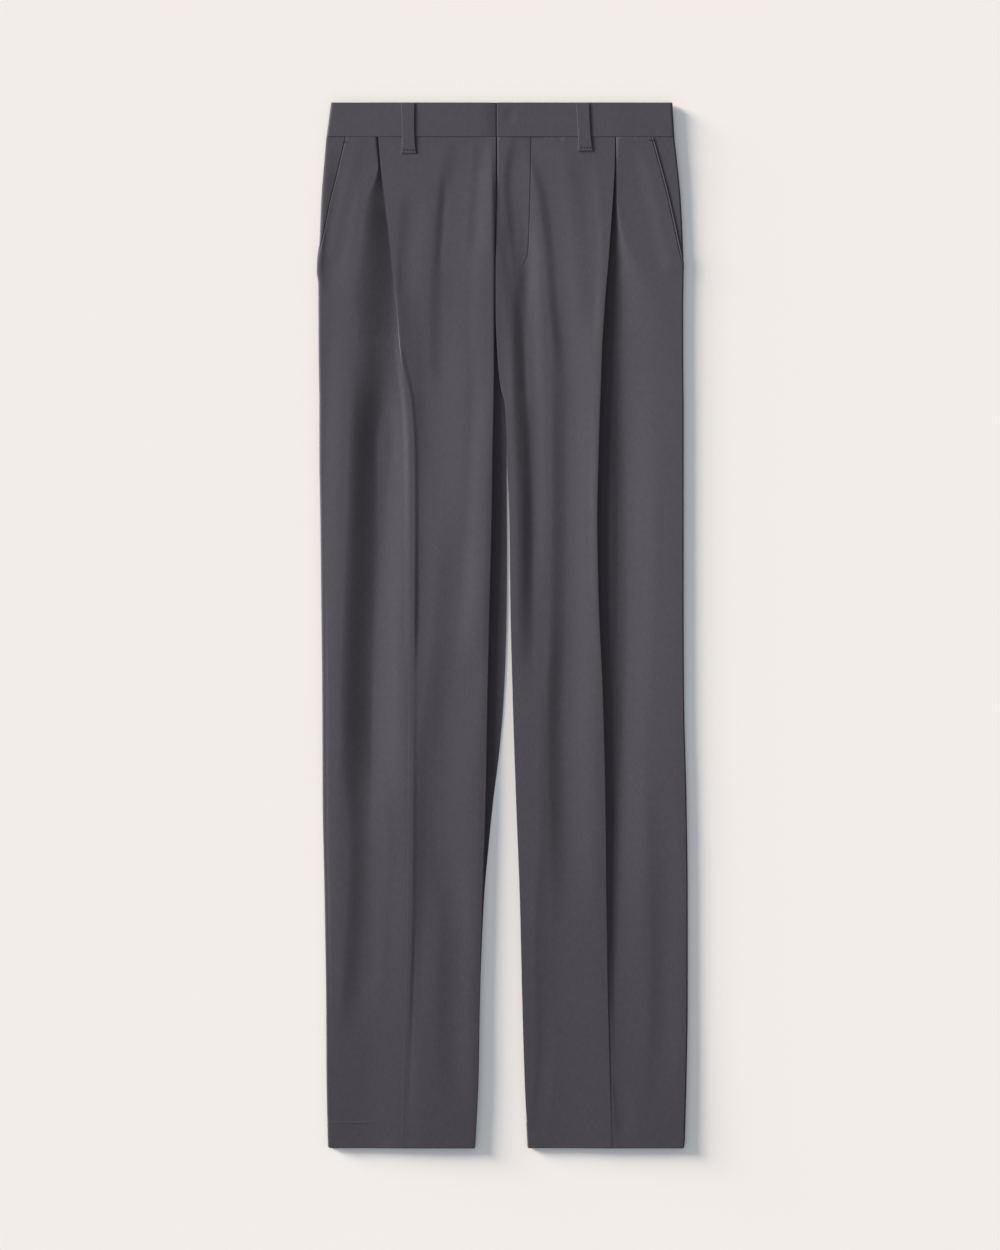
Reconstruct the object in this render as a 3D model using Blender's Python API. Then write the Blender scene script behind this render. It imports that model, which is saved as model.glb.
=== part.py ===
"""Pleated dress trousers, lying flat on their back.

Sizes are in millimetres and become metres where the meshes are made. X runs across the garment, with
the wearer's left at +X, Y runs up to the waist, and Z up from the surface that it lies on. A drop is a
distance down from the top of the waistband. Each leg is drawn outwards from the middle of the garment:
its u is +X on the left leg and -X on the right. Every cloth piece is a grid laid through section lines,
which run along the middle of its wall, and a Solidify modifier gives it the wall.
"""

import math

import bmesh
import bpy
import numpy as np

MM = 0.001

# Driving sizes
LENGTH = 1100.0  # waistband top to hem
BAND_DEPTH = 36.0  # waistband, top edge to waist seam
HEM_DEPTH = 27.0  # turned up inside each hem
CLOTH = 1.0  # wall of a panel
BAND_CLOTH = 1.3  # wall of the interlined waistband
SEAM = 0.3  # between two pieces
LAYER = CLOTH + SEAM  # from the middle of a ply to the middle of the one that it lies on
FOLD_RADIUS = LAYER / 2  # a pressed fold, at the middle of the wall
SOFT_TURN = 60.0  # degrees; a pleat that turns less than this opens to a wider radius
FLAT_TURN = 179.0  # degrees; past this a pleat's flap lies flat
SEAM_ROLL_GAP = 0.6  # between front and back round the rolled side edge

# Levels above the surface
BAND_BACK = 1.95  # middle of the waistband's back half
BAND_FRONT = 5.95  # middle of its front half
BAND_LAP = 3.55  # middle of its underlap
BACK_RAISED = 1.3  # underside of the back panels at the waist, above the back belt loops
RAISED_TO = 56.0  # drop where the back panels start down to the surface
FLAT_FROM = 112.0  # drop from which they lie on it

# Fly and waist closure
FLY_END = 192.0
LAP_REACH = 14.0  # the fly underlap runs this far past the middle
LAP_START = -9.0
ZIP_WIDTH = 10.0
ZIP_TOP = 54.0
ZIP_END = 186.0
BAND_LAP_REACH = 16.0
BAND_EDGE = -5.5  # the left waistband's front edge
BAND_STEP_GAP = 0.8  # between that edge and where the right waistband steps down to its underlap
BAND_RAMP = 3.0  # width of the step
HOOK_METAL = 0.5  # thickness of the hook and its bar

# Belt loops
LOOP_WIDTH = 14.0
BACK_LOOP_SPREAD = 92.0  # the outer back loops' distance from the middle
BACK_LOOP_TOP = 1.0
BACK_LOOP_END = 52.0

# Pockets
FACING_UNDER = 12.0  # width of facing under the front panel
FACING_FADE = 16.0  # over which the front panel settles past the facing
POCKET_LIFT = LAYER + 0.15  # front panel over the facing, middle to middle
POCKET_SETTLE = 16.0  # drop past the pocket's end in which the front panel settles

# Edges
LIP_WIDTH = 3.2  # rolled inner edge of a front panel
FOLD_WINDOW = 6.0  # folds die out this close to a rolled edge or a pleat
FADE = 0.25  # share of a fold's length over which it rises and dies out
HEM_CLEAR = 3.5  # a back panel's turned-up hem stops this far short of the inseam

# Splits of the grids
ROLL_SPLITS = (0.0, 0.33, 0.67, 1.0)
FIELD_STEPS = 4  # from the rolled edge to the pleat's valley
DIP_SPLITS = (1.0, 0.5, 0.0)  # across the valley, down to the cloth that the flap covers
LEAST_LEVEL = 0.8  # level cloth beside a pleat's foot
LEAST_ROLL = 1.5  # first stretch of a front panel whose pocket edge lies past the rolled edge
FACING_ROLL_SPLITS = (0.0, 0.8, 1.6, 2.4, 3.2, 4.0)
TURN_STEPS = 4
CENTRE_STEPS = 11
LIP_STEPS = 4
ROLL_STEPS = 5
ROLL_POINTS = 24  # points worked out round a rolled edge before it is split
FIELD_POINTS = 120  # and from there to the pleat's foot
POCKET_DROPS = (50, 66, 84, 103, 122)
POCKET_END_ROWS = (26, 17, 9, 0)  # rows up from a pocket's end, where its edge runs onto the rolled edge
FRONT_DROPS = (178, 190, 204, 225, 260, 297, 325, 365, 439, 500, 565, 628, 700, 770, 839, 910, 980, 1040,
               LENGTH - HEM_DEPTH)
BACK_DROPS = (RAISED_TO, 84, FLAT_FROM, 147, 165, 178, 190, 240, 285, 317, 335, 400, 425, 523, 576, 610,
              650, 690, 770, 839, 910, 980, 1040, LENGTH - HEM_DEPTH)


def smooth_read(x, xs, ys):
    """Read a curve through the rows that never overshoots them."""
    step = np.diff(xs)
    rise = np.diff(ys) / step
    slope = np.concatenate([rise[:1], np.zeros(len(rise) - 1), rise[-1:]])
    for i in range(1, len(rise)):
        if rise[i - 1] * rise[i] > 0:
            slope[i] = 2 * rise[i - 1] * rise[i] / (rise[i - 1] + rise[i])
    x = min(max(x, xs[0]), xs[-1])
    i = min(int(np.searchsorted(xs, x, side="right")) - 1, len(step) - 1)
    t = (x - xs[i]) / step[i]
    return (ys[i] * (1 + 2 * t) * (1 - t) ** 2 + slope[i] * step[i] * t * (1 - t) ** 2
            + ys[i + 1] * t * t * (3 - 2 * t) + slope[i + 1] * step[i] * t * t * (t - 1))


class Table:
    """Rows of named columns, the first of them the drop."""

    def __init__(self, columns, rows):
        values = np.array(rows, float)
        self.column = {name: values[:, i] for i, name in enumerate(columns.split())}

    def read(self, name, drop):
        return smooth_read(drop, self.column["drop"], self.column[name])


# Each leg at a drop. outer and inner are its edges and crease its pleat's fold edge or pressed crease, as
# u. turn is the angle that the pleat's cloth turns through, 180 where it lies folded flat, and flap the
# straight cloth between its two turns. crest is the height of the fold edge, dip and crown the widths over
# which the cloth outside and inside it comes to the height of the field, side or centre. seam is the side
# seam's angle up round the rolled edge.
LEG_COLUMNS = "drop outer inner crease turn flap crest dip crown side centre seam"
RIGHT_LEG = Table(LEG_COLUMNS, (
    (36.3, 185.0, 5.9, 131.0, 180, 16.0, 6.3, 6, 14, 5.1, 5.7, 35),
    (66, 187.5, 5.9, 128.5, 180, 13.0, 6.7, 9, 18, 5.2, 5.9, 35),
    (103, 190.5, 6.3, 124.0, 170, 10.0, 7.2, 16, 22, 5.4, 6.1, 12),
    (145, 192.3, 7.2, 118.0, 155, 7.0, 7.6, 22, 26, 5.6, 6.2, 5),
    (165, 193.2, 7.4, 115.6, 146, 6.0, 7.7, 23, 27, 5.7, 6.2, 5),
    (178, 195.3, 7.5, 114.0, 140, 5.0, 7.7, 24, 28, 5.8, 6.2, 5),
    (190, 193.7, 7.6, 112.7, 132, 4.4, 7.7, 24, 28, 5.8, 6.2, 5),
    (218, 193.5, 7.8, 109.5, 115, 3.2, 7.5, 26, 28, 5.9, 6.2, 5),
    (260, 193.3, 8.0, 105.0, 80, 1.8, 7.2, 28, 26, 6.0, 6.2, 5),
    (317, 192.5, 8.5, 98.5, 40, 0.9, 7.0, 30, 18, 6.0, 6.1, 5),
    (365, 192.5, 9.5, 96.5, 24, 0.6, 6.9, 30, 10, 6.0, 6.0, 5),
    (439, 191.5, 10.5, 97.0, 16, 0.5, 6.8, 30, 8, 6.0, 6.0, 5),
    (628, 189.5, 15.0, 97.5, 16, 0.5, 6.7, 30, 8, 6.0, 5.9, 10),
    (734, 189.0, 17.0, 96.5, 16, 0.5, 6.6, 28, 8, 5.9, 5.8, 35),
    (839, 187.0, 20.5, 98.5, 16, 0.5, 6.4, 26, 8, 5.8, 5.7, 30),
    (944, 185.5, 23.5, 102.0, 16, 0.5, 6.1, 24, 8, 5.6, 5.6, 10),
    (1028, 185.0, 25.0, 104.5, 16, 0.5, 5.8, 22, 8, 5.5, 5.5, 5),
    (1100, 183.5, 28.5, 106.0, 16, 0.5, 5.6, 20, 8, 5.4, 5.4, 5),
))
LEFT_LEG = Table(LEG_COLUMNS, (
    (36.3, 181.0, -5.5, 119.0, 180, 16.0, 6.3, 4, 14, 5.1, 5.7, 50),
    (66, 184.5, -5.5, 118.5, 180, 14.0, 6.8, 5, 18, 5.2, 5.9, 50),
    (103, 188.0, -6.0, 116.5, 168, 11.0, 7.4, 8, 22, 5.4, 6.1, 50),
    (145, 190.0, -6.5, 113.5, 145, 9.0, 8.2, 13, 26, 5.6, 6.2, 40),
    (178, 191.0, -7.0, 111.0, 125, 7.5, 8.8, 16, 28, 5.8, 6.2, 20),
    (218, 190.5, -7.0, 108.0, 110, 5.6, 9.0, 19, 28, 5.9, 6.2, 15),
    (260, 190.5, -5.5, 105.5, 102, 4.9, 9.1, 21, 28, 6.0, 6.2, 15),
    (297, 190.8, -2.1, 104.3, 99, 4.8, 9.1, 22, 28, 6.0, 6.2, 15),
    (317, 191.0, 2.8, 103.5, 98, 4.7, 9.0, 22, 28, 6.0, 6.2, 15),
    (365, 191.0, 5.0, 102.0, 95, 4.4, 8.8, 23, 28, 6.0, 6.2, 15),
    (439, 191.0, 7.5, 100.5, 92, 4.0, 8.5, 24, 28, 6.0, 6.2, 15),
    (523, 191.0, 8.5, 102.0, 88, 3.7, 8.3, 24, 28, 6.0, 6.2, 15),
    (628, 191.5, 11.0, 106.5, 84, 3.2, 8.0, 22, 26, 6.0, 6.1, 35),
    (734, 194.0, 14.5, 109.0, 80, 2.6, 7.6, 20, 24, 5.9, 6.0, 50),
    (839, 195.3, 18.5, 110.0, 70, 1.9, 7.1, 18, 20, 5.8, 5.8, 50),
    (944, 195.3, 21.0, 111.5, 48, 1.2, 6.4, 16, 14, 5.6, 5.6, 50),
    (1028, 194.0, 23.5, 113.5, 26, 0.7, 5.9, 16, 10, 5.5, 5.5, 50),
    (1100, 192.0, 27.0, 115.5, 18, 0.5, 5.6, 16, 8, 5.4, 5.4, 50),
))

# Where each pocket edge runs: its way round the cloth from the side seam at the waist seam, and the drop
# where it meets the side seam.
RIGHT_POCKET = {"slant": 18.5, "end": 160.0}
LEFT_POCKET = {"slant": 21.7, "end": 168.0}

# The inner edge of each back panel, as u: the centre back seam down to the crotch, then the inseam. Below
# the crotch the right back panel shows past its front panel for a hand's length.
RIGHT_BACK = Table("drop inner", (
    (36.3, 0.15), (285, 0.15), (317, -3.0), (335, -4.3), (400, -4.3), (425, -1.8), (523, -0.5), (576, 0.5),
    (610, 5.0), (650, 12.5), (690, 16.2), (734, 17.0), (839, 20.5), (944, 23.5), (1028, 25.0), (1100, 28.5),
))
LEFT_BACK = Table("drop inner", (
    (36.3, 0.15), (285, 0.15), (317, 3.4), (335, 4.7), (365, 5.0), (439, 7.5), (523, 8.5), (628, 11.0),
    (734, 14.5), (839, 18.5), (944, 21.0), (1028, 23.5), (1100, 27.0),
))

# Top of what lies under the inner edges of the front panels: the fly underlap, then the back panels.
SUPPORT = Table("drop top", (
    (36.3, 4.1), (66, 3.8), (103, 3.3), (145, 2.6), (178, 2.35), (200, 2.35), (212, 1.0), (1100, 1.0),
))

# A front belt loop's middle line: the height over the surface down its length.
FRONT_LOOP = Table("drop level", (
    (0.6, 7.4), (4, 7.6), (12, 8.4), (24, 8.7), (36, 8.3), (44, 7.3), (50, 6.8), (54, 6.8),
))

# The largest soft folds, a row each. The path is its u at four even drops from start to end, rise its
# height over the field, negative in a trough, and outer and inner its half widths.
FOLD_COLUMNS = "start end u0 u1 u2 u3 rise outer inner"
RIGHT_FOLDS = (
    (150, 800, 119.0, 131.0, 139.5, 149.5, -2.9, 30, 32),
    (750, 990, 146.0, 150.0, 153.0, 156.0, -1.5, 15, 24),
    (400, 780, 48.0, 53.0, 61.0, 76.0, -1.7, 15, 32),
    (70, 270, 60.0, 62.5, 67.0, 69.0, -1.0, 12, 14),
)
LEFT_FOLDS = (
    (45, 270, 36.0, 52.0, 64.0, 74.0, -1.9, 20, 11),
    (170, 640, 30.0, 24.5, 29.5, 31.0, -2.6, 16, 10),
    (230, 860, 58.0, 64.0, 60.5, 56.0, -2.4, 20, 12),
    (790, 1000, 170.0, 168.0, 165.0, 158.0, -0.9, 12, 14),
)


def smoothstep(x):
    x = np.clip(x, 0.0, 1.0)
    return x * x * (3 - 2 * x)


def fold_heights(folds, u, drop):
    """Height that the soft folds add to the field at u."""
    total = np.zeros_like(u)
    for row in folds:
        fold = dict(zip(FOLD_COLUMNS.split(), row))
        along = (drop - fold["start"]) / (fold["end"] - fold["start"])
        if not 0 < along < 1:
            continue
        path = [fold[f"u{i}"] for i in range(4)]
        away = u - smooth_read(along, np.linspace(0, 1, 4), path)
        away = away / np.where(away > 0, fold["outer"], fold["inner"])
        swell = smoothstep(along / FADE) * smoothstep((1 - along) / FADE)
        total += fold["rise"] * swell * np.clip(1 - away * away, 0, 1) ** 2
    return total


def back_underside(drop):
    return BACK_RAISED * (1 - smoothstep((drop - RAISED_TO) / (FLAT_FROM - RAISED_TO)))


def offset_path(path, distance):
    """The path moved out from the body by a distance, on the side that faces up and outwards."""
    way = np.gradient(path, axis=0)
    way /= np.linalg.norm(way, axis=1)[:, None]
    out = np.column_stack([way[:, 1], -way[:, 0]])
    return path + out * np.reshape(distance, (-1, 1))


def edge_roll(leg, drop, start, end, steps, inset=0.0):
    """The rolled side edge between two angles, 0 at its outermost line and 90 on top."""
    low = back_underside(drop)
    radius = (leg.read("side", drop) - low) / 2
    angles = np.radians(np.linspace(start, end, steps + 1))
    middle = radius - CLOTH / 2 - inset
    centre = leg.read("outer", drop) - radius
    return np.column_stack([centre + middle * np.cos(angles), low + radius + middle * np.sin(angles)])


def seam_angle(leg, drop, way, inset):
    """Angle of the side seam, moved by half of its gap towards the front (+1) or the back (-1)."""
    middle = (leg.read("side", drop) - back_underside(drop) - CLOTH) / 2 - inset
    return leg.read("seam", drop) + way * math.degrees(SEAM_ROLL_GAP / 2 / middle)


def pleat(leg, drop):
    """A pleat's two turns and its flap, inwards and up from the foot at (0, 0), and its radius.

    The flap is cut short where the foot would reach the back panel.
    """
    turn = leg.read("turn", drop)
    radius = FOLD_RADIUS * max(1.0, SOFT_TURN / turn)
    angles = np.radians(np.linspace(0, turn, TURN_STEPS + 1))
    first = radius * np.column_stack([-np.sin(angles), 1 - np.cos(angles)])
    room = leg.read("crest", drop) - back_underside(drop) - LAYER - CLOTH - 2 * first[-1, 1]
    length = leg.read("flap", drop)
    if turn < FLAT_TURN:
        length = min(length, room / math.sin(angles[-1]))
    flap = length * np.array([-math.cos(angles[-1]), math.sin(angles[-1])])
    second = first[-1] + flap + first[-1] - first[::-1]
    return np.vstack([first, second]), radius


def pocket_edge(pocket, drop):
    """How far round the cloth the pocket edge lies from the side seam."""
    return max(0.0, pocket["slant"] * (pocket["end"] - drop) / (pocket["end"] - BAND_DEPTH))


def covered_to(leg, drop, foot):
    """How far out from the foot the cloth under the pleat's flap stays level."""
    return max(foot[0] + LEAST_LEVEL, leg.read("crease", drop) + SEAM)


def side_path(leg, folds, drop, foot, inset=0.0):
    """The front cloth from the side seam over the rolled edge to the pleat's foot."""
    roll = edge_roll(leg, drop, seam_angle(leg, drop, 1, inset), 90, ROLL_POINTS, inset)
    edge_u, field = roll[-1, 0], leg.read("side", drop)
    u = np.linspace(edge_u, foot[0], FIELD_POINTS)[1:]
    covered = covered_to(leg, drop, foot)
    dip = 1 - smoothstep((u - covered) / leg.read("dip", drop))
    window = smoothstep((edge_u - u) / FOLD_WINDOW) * smoothstep((u - covered) / FOLD_WINDOW)
    top = field + (foot[1] - field) * dip + fold_heights(folds, u, drop) * window
    floor = back_underside(drop) + LAYER + CLOTH
    return np.vstack([roll, np.column_stack([u, np.maximum(top, floor) - CLOTH / 2 - inset])])


def centre_path(leg, folds, drop, crest, covers, inset=0.0):
    """The front cloth from the pleat's fold edge inwards, with its inner edge rolled down.

    It stays level as far as it covers the pleat's flap, to the u that covers gives.
    """
    rim = SUPPORT.read("top", drop) + SEAM
    inner = leg.read("inner", drop) + CLOTH / 2 + inset
    lip_start = leg.read("inner", drop) + LIP_WIDTH
    u = np.linspace(crest[0], lip_start, CENTRE_STEPS + 1)
    field = leg.read("centre", drop)
    crown = 1 - smoothstep((covers - u) / leg.read("crown", drop))
    window = smoothstep((covers - u) / FOLD_WINDOW)
    top = field + (crest[1] - field) * crown + fold_heights(folds, u, drop) * window
    middle = np.maximum(top, rim + CLOTH) - CLOTH / 2 - inset
    angles = np.radians(np.linspace(0, 90, LIP_STEPS + 1))[1:]
    height = middle[-1] - rim
    lip = np.column_stack([inner + (lip_start - inner) * (1 - np.sin(angles)), rim + height * np.cos(angles)])
    return np.vstack([np.column_stack([u, middle]), lip])


def lengths_along(path):
    return np.concatenate([[0], np.cumsum(np.linalg.norm(np.diff(path, axis=0), axis=1))])


def resample(path, along, stations):
    return np.column_stack([np.interp(stations, along, path[:, i]) for i in range(2)])


def front_section(leg, folds, pocket, drop, inset=0.0):
    """A front panel's section line, from the side seam or pocket edge to the fly or inseam."""
    turns, radius = pleat(leg, drop)
    crest_top = leg.read("crest", drop)
    lean = math.sin(math.radians(min(leg.read("turn", drop), 90)))
    crest = (leg.read("crease", drop) - (radius + CLOTH / 2) * lean, crest_top)
    foot = (crest[0] - turns[-1, 0], crest_top - turns[-1, 1])
    plain = side_path(leg, folds, drop, foot, inset)
    along = lengths_along(plain)
    edge = pocket_edge(pocket, drop)
    settle = smoothstep((along - edge - FACING_UNDER) / FACING_FADE)
    fade = smoothstep((drop - pocket["end"]) / POCKET_SETTLE)
    side = offset_path(plain, POCKET_LIFT * (1 - settle) * (1 - fade))
    roll_end = max(along[ROLL_POINTS], edge + LEAST_ROLL)
    covered = covered_to(leg, drop, foot)
    valley = covered + leg.read("dip", drop) * np.array(DIP_SPLITS)
    valley = np.interp(-valley, -plain[:, 0], along)
    stations = [edge + (roll_end - edge) * split for split in ROLL_SPLITS]
    stations += list(np.linspace(roll_end, valley[0], FIELD_STEPS + 1)[1:])
    side = resample(side, along, [*stations, *valley[1:], along[-1]])
    turns = turns + (foot[0], foot[1] - CLOTH / 2 - inset)
    covers = min(crest[0], foot[0] - radius - CLOTH)
    centre = centre_path(leg, folds, drop, crest, covers, inset)
    return np.vstack([side[:-1], turns, centre[1:]])


def facing_section(leg, folds, pocket, drop):
    """A pocket facing's section line, from the side seam to its edge under the front panel."""
    turns, _ = pleat(leg, drop)
    foot = (leg.read("crease", drop), leg.read("crest", drop) - turns[-1, 1])
    side = side_path(leg, folds, drop, foot)
    reach = pocket_edge(pocket, drop) + FACING_UNDER
    return resample(side, lengths_along(side), np.concatenate([FACING_ROLL_SPLITS, np.linspace(8, reach, 5)]))


def back_section(leg, inner, drop, inset=0.0):
    """A back panel's section line, from the side seam round the rolled edge and in along the surface."""
    roll = edge_roll(leg, drop, seam_angle(leg, drop, -1, inset), -90, ROLL_STEPS, inset)
    u = np.linspace(roll[-1, 0], inner, 5)[1:]
    return np.vstack([roll, np.column_stack([u, np.full(4, back_underside(drop) + CLOTH / 2 + inset)])])


def hem_rows():
    """Drop and inset of the rows that turn a panel's end up inside the hem."""
    turn = LENGTH - CLOTH / 2 - FOLD_RADIUS
    angles = np.radians(np.linspace(0, 180, 5))
    rows = [(turn + FOLD_RADIUS * math.sin(a), FOLD_RADIUS * (1 - math.cos(a))) for a in angles]
    return rows + [(LENGTH - HEM_DEPTH, LAYER)]


def cloth_material():
    return material("charcoal_suiting", (0.085, 0.081, 0.095), 0.85, 0.0)


def material(name, colour, roughness, metallic):
    made = bpy.data.materials.get(name) or bpy.data.materials.new(name)
    made.use_nodes = True
    shader = made.node_tree.nodes["Principled BSDF"]
    shader.inputs["Base Color"].default_value = (*colour, 1)
    shader.inputs["Roughness"].default_value = roughness
    shader.inputs["Metallic"].default_value = metallic
    return made


def place(name, bm, finish):
    mesh = bpy.data.meshes.new(name)
    bm.to_mesh(mesh)
    bm.free()
    mesh.shade_smooth()
    mesh.set_sharp_from_angle(angle=math.radians(40))
    mesh.materials.append(finish)
    piece = bpy.data.objects.new(name, mesh)
    bpy.context.scene.collection.objects.link(piece)
    return piece


def lay_cloth(name, sign, rows, wall=CLOTH, finish=None):
    """A cloth piece: a grid with a row at each drop, through its section line, and a wall round it."""
    columns, count = len(rows[0][1]) - 1, len(rows) - 1
    bm = bmesh.new()
    bmesh.ops.create_grid(bm, x_segments=columns, y_segments=count, size=1)
    for vert in bm.verts:
        drop, line = rows[round((vert.co.y + 1) / 2 * count)]
        u, z = line[round((vert.co.x + 1) / 2 * columns)]
        vert.co = (sign * u * MM, (LENGTH / 2 - drop) * MM, z * MM)
    piece = place(name, bm, finish or cloth_material())
    solid = piece.modifiers.new("wall", "SOLIDIFY")
    solid.thickness = wall * MM
    solid.offset = 0
    solid.use_even_offset = True
    solid.use_quality_normals = True
    return piece


def plate(name, left, right, top, bottom, low, high, bevel, finish):
    """A small flat piece between two X, two drops and two heights, with its corners eased."""
    bm = bmesh.new()
    bmesh.ops.create_cube(bm, size=1)
    for vert in bm.verts:
        vert.co = ((left if vert.co.x < 0 else right) * MM,
                   (LENGTH / 2 - (bottom if vert.co.y < 0 else top)) * MM,
                   (low if vert.co.z < 0 else high) * MM)
    upright = [e for e in bm.edges if abs(e.verts[0].co.z - e.verts[1].co.z) > 0]
    bmesh.ops.bevel(bm, geom=upright, offset=bevel * MM, segments=2, profile=0.5, affect="EDGES", material=-1)
    return place(name, bm, finish)


def pocket_drops(pocket):
    """Drops of the rows along a pocket, which its front panel and its facing share."""
    return (BAND_DEPTH + SEAM, *POCKET_DROPS, *(pocket["end"] - up for up in POCKET_END_ROWS))


def make_front_panels():
    for name, sign, leg, folds, pocket in (("front_panel_right", -1, RIGHT_LEG, RIGHT_FOLDS, RIGHT_POCKET),
                                           ("front_panel_left", 1, LEFT_LEG, LEFT_FOLDS, LEFT_POCKET)):
        rows = []
        for drop in (*pocket_drops(pocket), pocket["end"] + POCKET_SETTLE / 2, *FRONT_DROPS):
            rows.append((drop, front_section(leg, folds, pocket, drop)))
        for drop, inset in hem_rows():
            rows.append((drop, front_section(leg, folds, pocket, drop, inset)))
        lay_cloth(name, sign, rows)


def make_pocket_facings():
    for name, sign, leg, folds, pocket in (("pocket_facing_right", -1, RIGHT_LEG, RIGHT_FOLDS, RIGHT_POCKET),
                                           ("pocket_facing_left", 1, LEFT_LEG, LEFT_FOLDS, LEFT_POCKET)):
        rows = [(drop, facing_section(leg, folds, pocket, drop)) for drop in pocket_drops(pocket)]
        lay_cloth(name, sign, rows)


def make_back_panels():
    for name, sign, leg, back in (("back_panel_right", -1, RIGHT_LEG, RIGHT_BACK),
                                  ("back_panel_left", 1, LEFT_LEG, LEFT_BACK)):
        rows = [(drop, back_section(leg, back.read("inner", drop), drop))
                for drop in (BAND_DEPTH + SEAM, *BACK_DROPS)]
        for drop, inset in hem_rows():
            inner = back.read("inner", drop) + HEM_CLEAR * min(1.0, 2 * inset / FOLD_RADIUS)
            rows.append((drop, back_section(leg, inner, drop, inset)))
        lay_cloth(name, sign, rows)


def band_line(drop, sign, side_top, side_bottom):
    """Half of the waistband from its front edge round the side fold to the centre back seam."""
    side = side_top + (side_bottom - side_top) * drop / BAND_DEPTH - BAND_CLOTH / 2
    radius = (BAND_FRONT - BAND_BACK) / 2
    if sign < 0:
        step = -BAND_EDGE + BAND_STEP_GAP + BAND_CLOTH / 2
        front = [(-BAND_LAP_REACH, BAND_LAP), (0, BAND_LAP), (step, BAND_LAP), (step + BAND_RAMP, BAND_FRONT)]
    else:
        front = [(BAND_EDGE, BAND_FRONT), (0, BAND_FRONT), (30, BAND_FRONT), (60, BAND_FRONT)]
    front += [(u, BAND_FRONT) for u in (90, 120, 150)]
    angles = np.radians(np.linspace(90, -90, 7))
    fold = [(side - radius + radius * math.cos(a), BAND_BACK + radius + radius * math.sin(a)) for a in angles]
    back = [(u, BAND_BACK) for u in (120, 60, SEAM / 2)]
    return np.array(front + fold + back)


def make_waistband():
    for name, sign, top, bottom in (("waistband_right", -1, 180.2, 185.0),
                                    ("waistband_left", 1, 179.0, 181.2)):
        rows = [(drop, band_line(drop, sign, top, bottom)) for drop in np.linspace(0, BAND_DEPTH, 4)]
        lay_cloth(name, sign, rows, BAND_CLOTH)


def make_fly():
    def level(drop):
        return SUPPORT.read("top", drop) - CLOTH / 2

    def strip(name, left, right, top, end, finish=None):
        rows = []
        for drop in np.linspace(top, end, 8):
            rows.append((drop, np.column_stack([np.linspace(left, right, 4), np.full(4, level(drop))])))
        lay_cloth(name, 1, rows, CLOTH, finish)

    tape = material("zip_tape", (0.04, 0.04, 0.045), 0.8, 0.0)
    metal = material("dark_metal", (0.30, 0.30, 0.32), 0.35, 1.0)
    zip_left = LAP_REACH + SEAM
    strip("fly_underlap", LAP_START, LAP_REACH, BAND_DEPTH + SEAM, FLY_END)
    strip("fly_zip", zip_left, zip_left + ZIP_WIDTH, ZIP_TOP, ZIP_END, tape)
    low = level(ZIP_TOP) - CLOTH / 2
    plate("fly_zip_slider", zip_left + 1, zip_left + ZIP_WIDTH - 1, ZIP_TOP - 9, ZIP_TOP - SEAM,
          low, low + CLOTH, 1.0, metal)
    low = BAND_LAP + BAND_CLOTH / 2 + SEAM
    plate("waist_bar", -2.5, 0.5, 9, 23, low, low + HOOK_METAL, 0.6, metal)
    plate("waist_hook", 0.8, 11.5, 11, 21, low, low + HOOK_METAL, 1.2, metal)


def make_front_loops():
    # name, sign, u of the middle at the top and at the bottom, and the drops of the two ends
    for name, sign, top_u, end_u, top, end in (("belt_loop_front_right", -1, 99.3, 98.6, 0.6, 53.5),
                                               ("belt_loop_front_left", 1, 84.4, 87.2, 0.9, 51.0)):
        rows = []
        for drop in np.linspace(top, end, 10):
            middle = top_u + (end_u - top_u) * (drop - top) / (end - top)
            across = middle + LOOP_WIDTH * np.linspace(-0.5, 0.5, 4)
            level = FRONT_LOOP.read("level", drop + FRONT_LOOP.column["drop"][-1] - end)
            rows.append((drop, np.column_stack([across, np.full(4, level)])))
        lay_cloth(name, sign, rows)


def make_back_loops():
    for name, side in (("belt_loop_back_right", -1), ("belt_loop_back_centre", 0),
                       ("belt_loop_back_left", 1)):
        across = side * BACK_LOOP_SPREAD + LOOP_WIDTH * np.linspace(-0.5, 0.5, 4)
        line = np.column_stack([across, np.full(4, CLOTH / 2)])
        lay_cloth(name, 1, [(drop, line) for drop in np.linspace(BACK_LOOP_TOP, BACK_LOOP_END, 6)])


def main():
    for old in list(bpy.data.objects):
        bpy.data.objects.remove(old, do_unlink=True)
    make_front_panels()
    make_pocket_facings()
    make_back_panels()
    make_waistband()
    make_fly()
    make_front_loops()
    make_back_loops()


main()
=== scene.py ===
"""Looks of pleated dress trousers that lie flat on their back, built over their solids.

The tables are in millimetres and become metres where the meshes are made. X runs across the garment, with
the wearer's left at +X, Y runs up to the waist and Z up from the surface that it lies on. A drop is a
distance down from the top of the waistband. Each leg is drawn outwards from the middle of the garment: its
u is +X on the left leg and -X on the right. A cloth piece is a grid laid through section lines, which run
along the middle of its wall, one at each drop.
"""

import math
from typing import NamedTuple

import bmesh
import bpy
import numpy as np
from mathutils import Matrix, Vector


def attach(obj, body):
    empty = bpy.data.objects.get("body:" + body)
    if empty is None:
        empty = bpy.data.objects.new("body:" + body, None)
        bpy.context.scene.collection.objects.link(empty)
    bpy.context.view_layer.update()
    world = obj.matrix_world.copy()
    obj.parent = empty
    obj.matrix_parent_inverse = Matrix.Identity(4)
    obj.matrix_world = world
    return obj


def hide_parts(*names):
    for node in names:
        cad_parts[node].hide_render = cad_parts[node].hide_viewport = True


bl_info = {
    "name": "Pleated trousers",
    "version": (1, 0, 0),
    "blender": (4, 5, 0),
    "location": "3D View > Sidebar > Trousers",
    "description": "Cloth, stitching and studio for pleated dress trousers laid flat",
    "category": "Object",
}

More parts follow.
